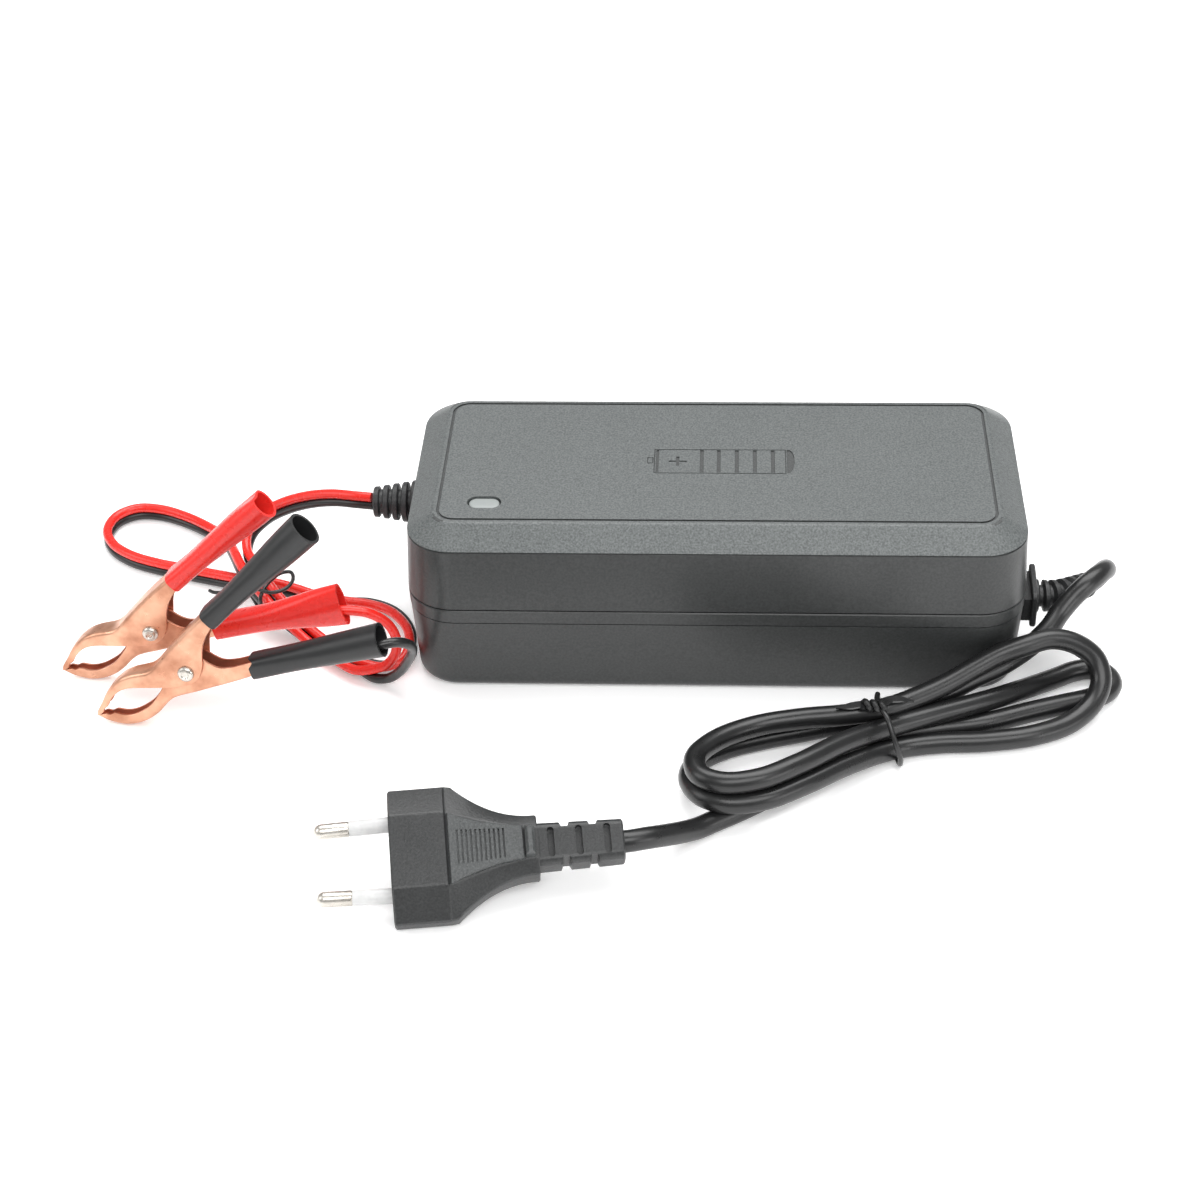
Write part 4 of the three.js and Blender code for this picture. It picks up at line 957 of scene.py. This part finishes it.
def _u_section(half_width, depth, bend):
    """Points (across, down) of half a turn of bent sheet, there on the outside and back on the inside."""
    inner_depth = min(SHEET, depth * 0.5)
    inner_bend = max(bend - SHEET, 0.1)
    arc = [pi / 2 * k / 4 for k in range(5)]
    round_edge = min(0.12, depth * 0.1)
    outside = [(-half_width, depth - round_edge)]
    outside += [(-half_width + bend - bend * cos(a), bend - bend * sin(a)) for a in arc]
    outside += [(half_width - bend + bend * sin(a), bend - bend * cos(a)) for a in arc]
    outside.append((half_width, depth - round_edge))
    wide = half_width - SHEET
    inside = [(half_width - round_edge, depth), (wide, depth)]
    centre = inner_depth + inner_bend
    inside += [(wide - inner_bend + inner_bend * cos(a), centre - inner_bend * sin(a)) for a in arc]
    inside += [(inner_bend - wide - inner_bend * sin(a), centre - inner_bend * cos(a)) for a in arc]
    inside += [(-wide, depth), (-half_width + round_edge, depth)]
    return outside + [(y, min(s, depth)) for y, s in inside]


def clip_rivet():
    """A shaft with a domed head at each end, dimpled on top."""
    face = UPPER_HALF_WIDTH + 0.05
    dome = [(2.25, face), (2.25, face + 0.25), (2.05, face + 0.62), (1.6, face + 0.92), (1.15, face + 1.0)]
    dome += [(0.85, face + 0.78), (0, face + 0.72)]
    profile = [(r, -h) for r, h in reversed(dome)] + [(1.2, -face), (1.2, face)] + dome
    return placed(loft(lathe(profile, 32)), turned(-90, "X"))


def sleeve(start, end, sections, wall=0.75, dent=0.0, torn=0.0):
    """An open tube, squarish at its start and round at its end. A dent marks the mouth, a tear the start."""
    axis = Vector((end[0] - start[0], 0, end[1] - start[1]))
    rise = Vector((-axis.z, 0, axis.x)).normalized()
    rows = spline_points(sections, 6)
    outside = [_sleeve_ring(start, axis, rise, row, 0, dent, torn) for row in rows]
    inside = [_sleeve_ring(start, axis, rise, row, wall, dent, torn) for row in reversed(rows)]
    return loft([*outside, *inside], closed=True)


def _sleeve_ring(start, axis, rise, row, thinner, dent, torn, sides=40):
    share, half_width, half_height = row
    square = 0.6 + 0.4 * min(max((share - 0.05) / 0.5, 0), 1)
    ring = []
    for a in circle(sides):
        across = copysign(abs(cos(a)) ** square, cos(a)) * (half_width - thinner)
        lift = copysign(abs(sin(a)) ** square, sin(a)) * (half_height - thinner)
        lift -= dent * share**4 * max(sin(a), 0) ** 6 * 1.6
        tear = torn * max(1 - share * 8, 0) * max(sin(3 * a + 0.6), 0) * max(-cos(a), 0)
        place = Vector((start[0], across, start[1])) + axis * share + rise * lift + axis.normalized() * tear
        ring.append(place)
    return ring


def clip_spring():
    """The torsion spring's wire: a leg, a coil round the rivet, and a leg."""
    radius, turns, half, first, steps = 2.5, 2.6, 1.4, -0.7, 40
    coil = []
    for k in range(steps + 1):
        angle = first - 2 * pi * turns * k / steps
        coil.append((radius * cos(angle), -half + 2 * half * k / steps, radius * sin(angle)))
    lower = [(13, -half, -7.9), (8, -half, -6.4), (4, -half, -4.4)]
    upper = [(1.8, half, 3.6), (6, half, 7), (12, half, 9.8)]
    return lower + coil + upper


def wire_mesh(points, diameter, sides=10):
    """A thin wire as a mesh."""
    line = spline_points(points, 3)
    return loft(sweep_rings(line, [diameter / 2] * len(line), sides, (0.31, 0.93, 0.17)))


def paint_inside(jaw, ring=26, first=12, last=24):
    """The inner side of the bent sheet, rougher and coloured as painted shade: the same faces in every
    section.
    """
    jaw.data.materials.append(COPPER_INSIDE_SHADED)
    for number, face in enumerate(jaw.data.polygons):
        if len(face.vertices) == 4 and first <= number % ring <= last:
            face.material_index = 1


def make_clip(colour, sleeve_material, slot):
    matrix = clip_matrix(colour)
    jaw_body = f"{colour}_clip"

    def add(part, name, material, slot_name, body, node, sharp=32.0):
        obj = piece(f"{colour}_{name}", *placed(part, matrix), material, slot_name, body, sharp)
        if node:
            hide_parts(f"{colour}_clip_{node}")
        return obj

    upper, lower = SLEEVES[colour]
    for side, rows, half_width, body in (
        ("lower", LOWER_JAW, LOWER_HALF_WIDTH, ROOT), ("upper", UPPER_JAW, UPPER_HALF_WIDTH, jaw_body)
    ):
        sheet = channel(rows, half_width)
        paint_inside(add(sheet, f"jaw_{side}", COPPER, "copper_plate", body, f"{side}_jaw", 40))
    pieces = [
        add(clip_rivet(), "rivet", NICKEL, "steel", ROOT, "rivet"),
        add(sleeve(**upper), "sleeve_upper", sleeve_material, slot, jaw_body, "upper_sleeve"),
        add(sleeve(**lower), "sleeve_lower", sleeve_material, slot, ROOT, "lower_sleeve"),
    ]
    spring = add(wire_mesh(clip_spring(), SPRING_WIRE), "spring", NICKEL, "steel", None, None, 40)
    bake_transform(spring)
    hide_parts(f"{colour}_clip_spring")
    pieces.append(spring)
    return pieces


# Leads
def beside(run, rise):
    """One core's line: the run moved over its twin, or in front of it where FLAT_LAY says."""
    line = [Vector(p) for p in run]
    over, front = Vector((0, 0, 1)), Vector((0, -0.88, 0.48))
    out = []
    for i, point in enumerate(line):
        along = heading(line, i)
        flat = flat_share(i)
        wanted = over.lerp(front, flat)
        square = (wanted - along * wanted.dot(along)).normalized()
        out.append(tuple(point + square * rise - over * 0.8 * flat * abs(rise) * (1 - abs(square.z))))
    return out


def flat_share(i):
    """How far the pair lies flat at a point of the run, from 0 (one over the other) to 1."""
    for (a, share_a), (b, share_b) in zip(FLAT_LAY, FLAT_LAY[1:]):
        if a <= i <= b:
            return share_a + (share_b - share_a) * (i - a) / (b - a)
    return 0.0


def twisted_pair(name, start, end, radius, turns, diameter):
    """Two wire ends twisted round each other."""
    start, end = Vector(start), Vector(end)
    side, rise = square_to((end - start).normalized())
    strands = []
    for phase in (0, pi):
        points = []
        for k in range(int(turns * 10) + 1):
            a = 2 * pi * k / 10 + phase
            share = k / (turns * 10)
            points.append(start.lerp(end, share) + radius * (side * cos(a) + rise * sin(a)))
        strands.append(wire_mesh(points, diameter, 8))
    return piece(name, *merged(strands), RUBBER, "black_rubber")


def tie_strip(points, width=3.0, thick=0.5):
    """A flat end of the tie's coating, cut to a point, through points in millimetres."""
    line = spline_points(points, 4)
    rings = []
    for i, centre in enumerate(line):
        side, rise = square_to(heading(line, i))
        half = width / 2 * min(1, 2.2 * (1 - i / (len(line) - 1)) + 0.15)
        edge = [(-half, 0), (-half * 0.8, thick / 2), (half * 0.8, thick / 2)]
        edge += [(half, 0), (half * 0.8, -thick / 2), (-half * 0.8, -thick / 2)]
        rings.append([centre + side * a - rise * b for a, b in edge])
    return loft(rings)


def make_mains_tie():
    ring = wire("mains_tie_ring", MAINS_TIE, 1.5, RUBBER, resolution=4)
    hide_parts("mains_lead_tie")
    twist = twisted_pair("mains_tie_twist", *laid([(45.4, -61.4, 16), (39.4, -60.2, 15.7)]), 1.0, 1.5, 1.6)
    strips = merged([tie_strip(points) for points in MAINS_TIE_TAILS])
    tails = piece("mains_tie_tails", *strips, RUBBER, "black_rubber")
    return [ring, twist, tails]


def make_twin_tie():
    ring = wire("twin_tie_wire", TWIN_TIE, 1.1, RUBBER, resolution=4)
    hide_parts("dc_lead_tie")
    return ring


def make_leads(plug_pieces, ac_relief, dc_relief):
    mains = wire("mains_lead", MAINS_ROUTE, MAINS_DIAMETER, RUBBER, 7, 8)
    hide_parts("mains_lead_first_run", "mains_lead_hank", "mains_lead_last_run")
    mains_pieces = [*plug_pieces, *make_mains_tie(), ac_relief]
    cores = [
        ("red", RED, "red_pvc", CORE_OFFSET, RED_TAIL, RED_LENGTH, [dc_relief, make_twin_tie()]),
        ("black", RUBBER, "black_rubber", -CORE_OFFSET, BLACK_TAIL, BLACK_LENGTH, []),
    ]
    for colour, material, slot, rise, tail, length, extra in cores:
        route = [*beside(TWIN_RUN, rise), *tail]
        core = wire(f"twin_core_{colour}", route, CORE_DIAMETER, material)
        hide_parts(f"dc_lead_{colour}")


def dress_frame():
    """Every CAD node that still shows gets its slot's material."""
    slots = {part["node"]: part["material_slot"] for part in frame["record"]["subparts"]}
    for name, obj in frame["nodes"].items():
        obj.data.materials.clear()
        obj.data.materials.append(SLOT_MATERIALS[slots[name]])


make_camera()
make_light()
make_floor()
dress_frame()
make_case()
make_led()
CLIPS = {
    "black": make_clip("black", BLACK_SLEEVE, "black_rubber"),
    "red": make_clip("red", RED_SLEEVE, "red_pvc"),
}
make_leads(make_plug(), make_ac_relief(), make_dc_relief())
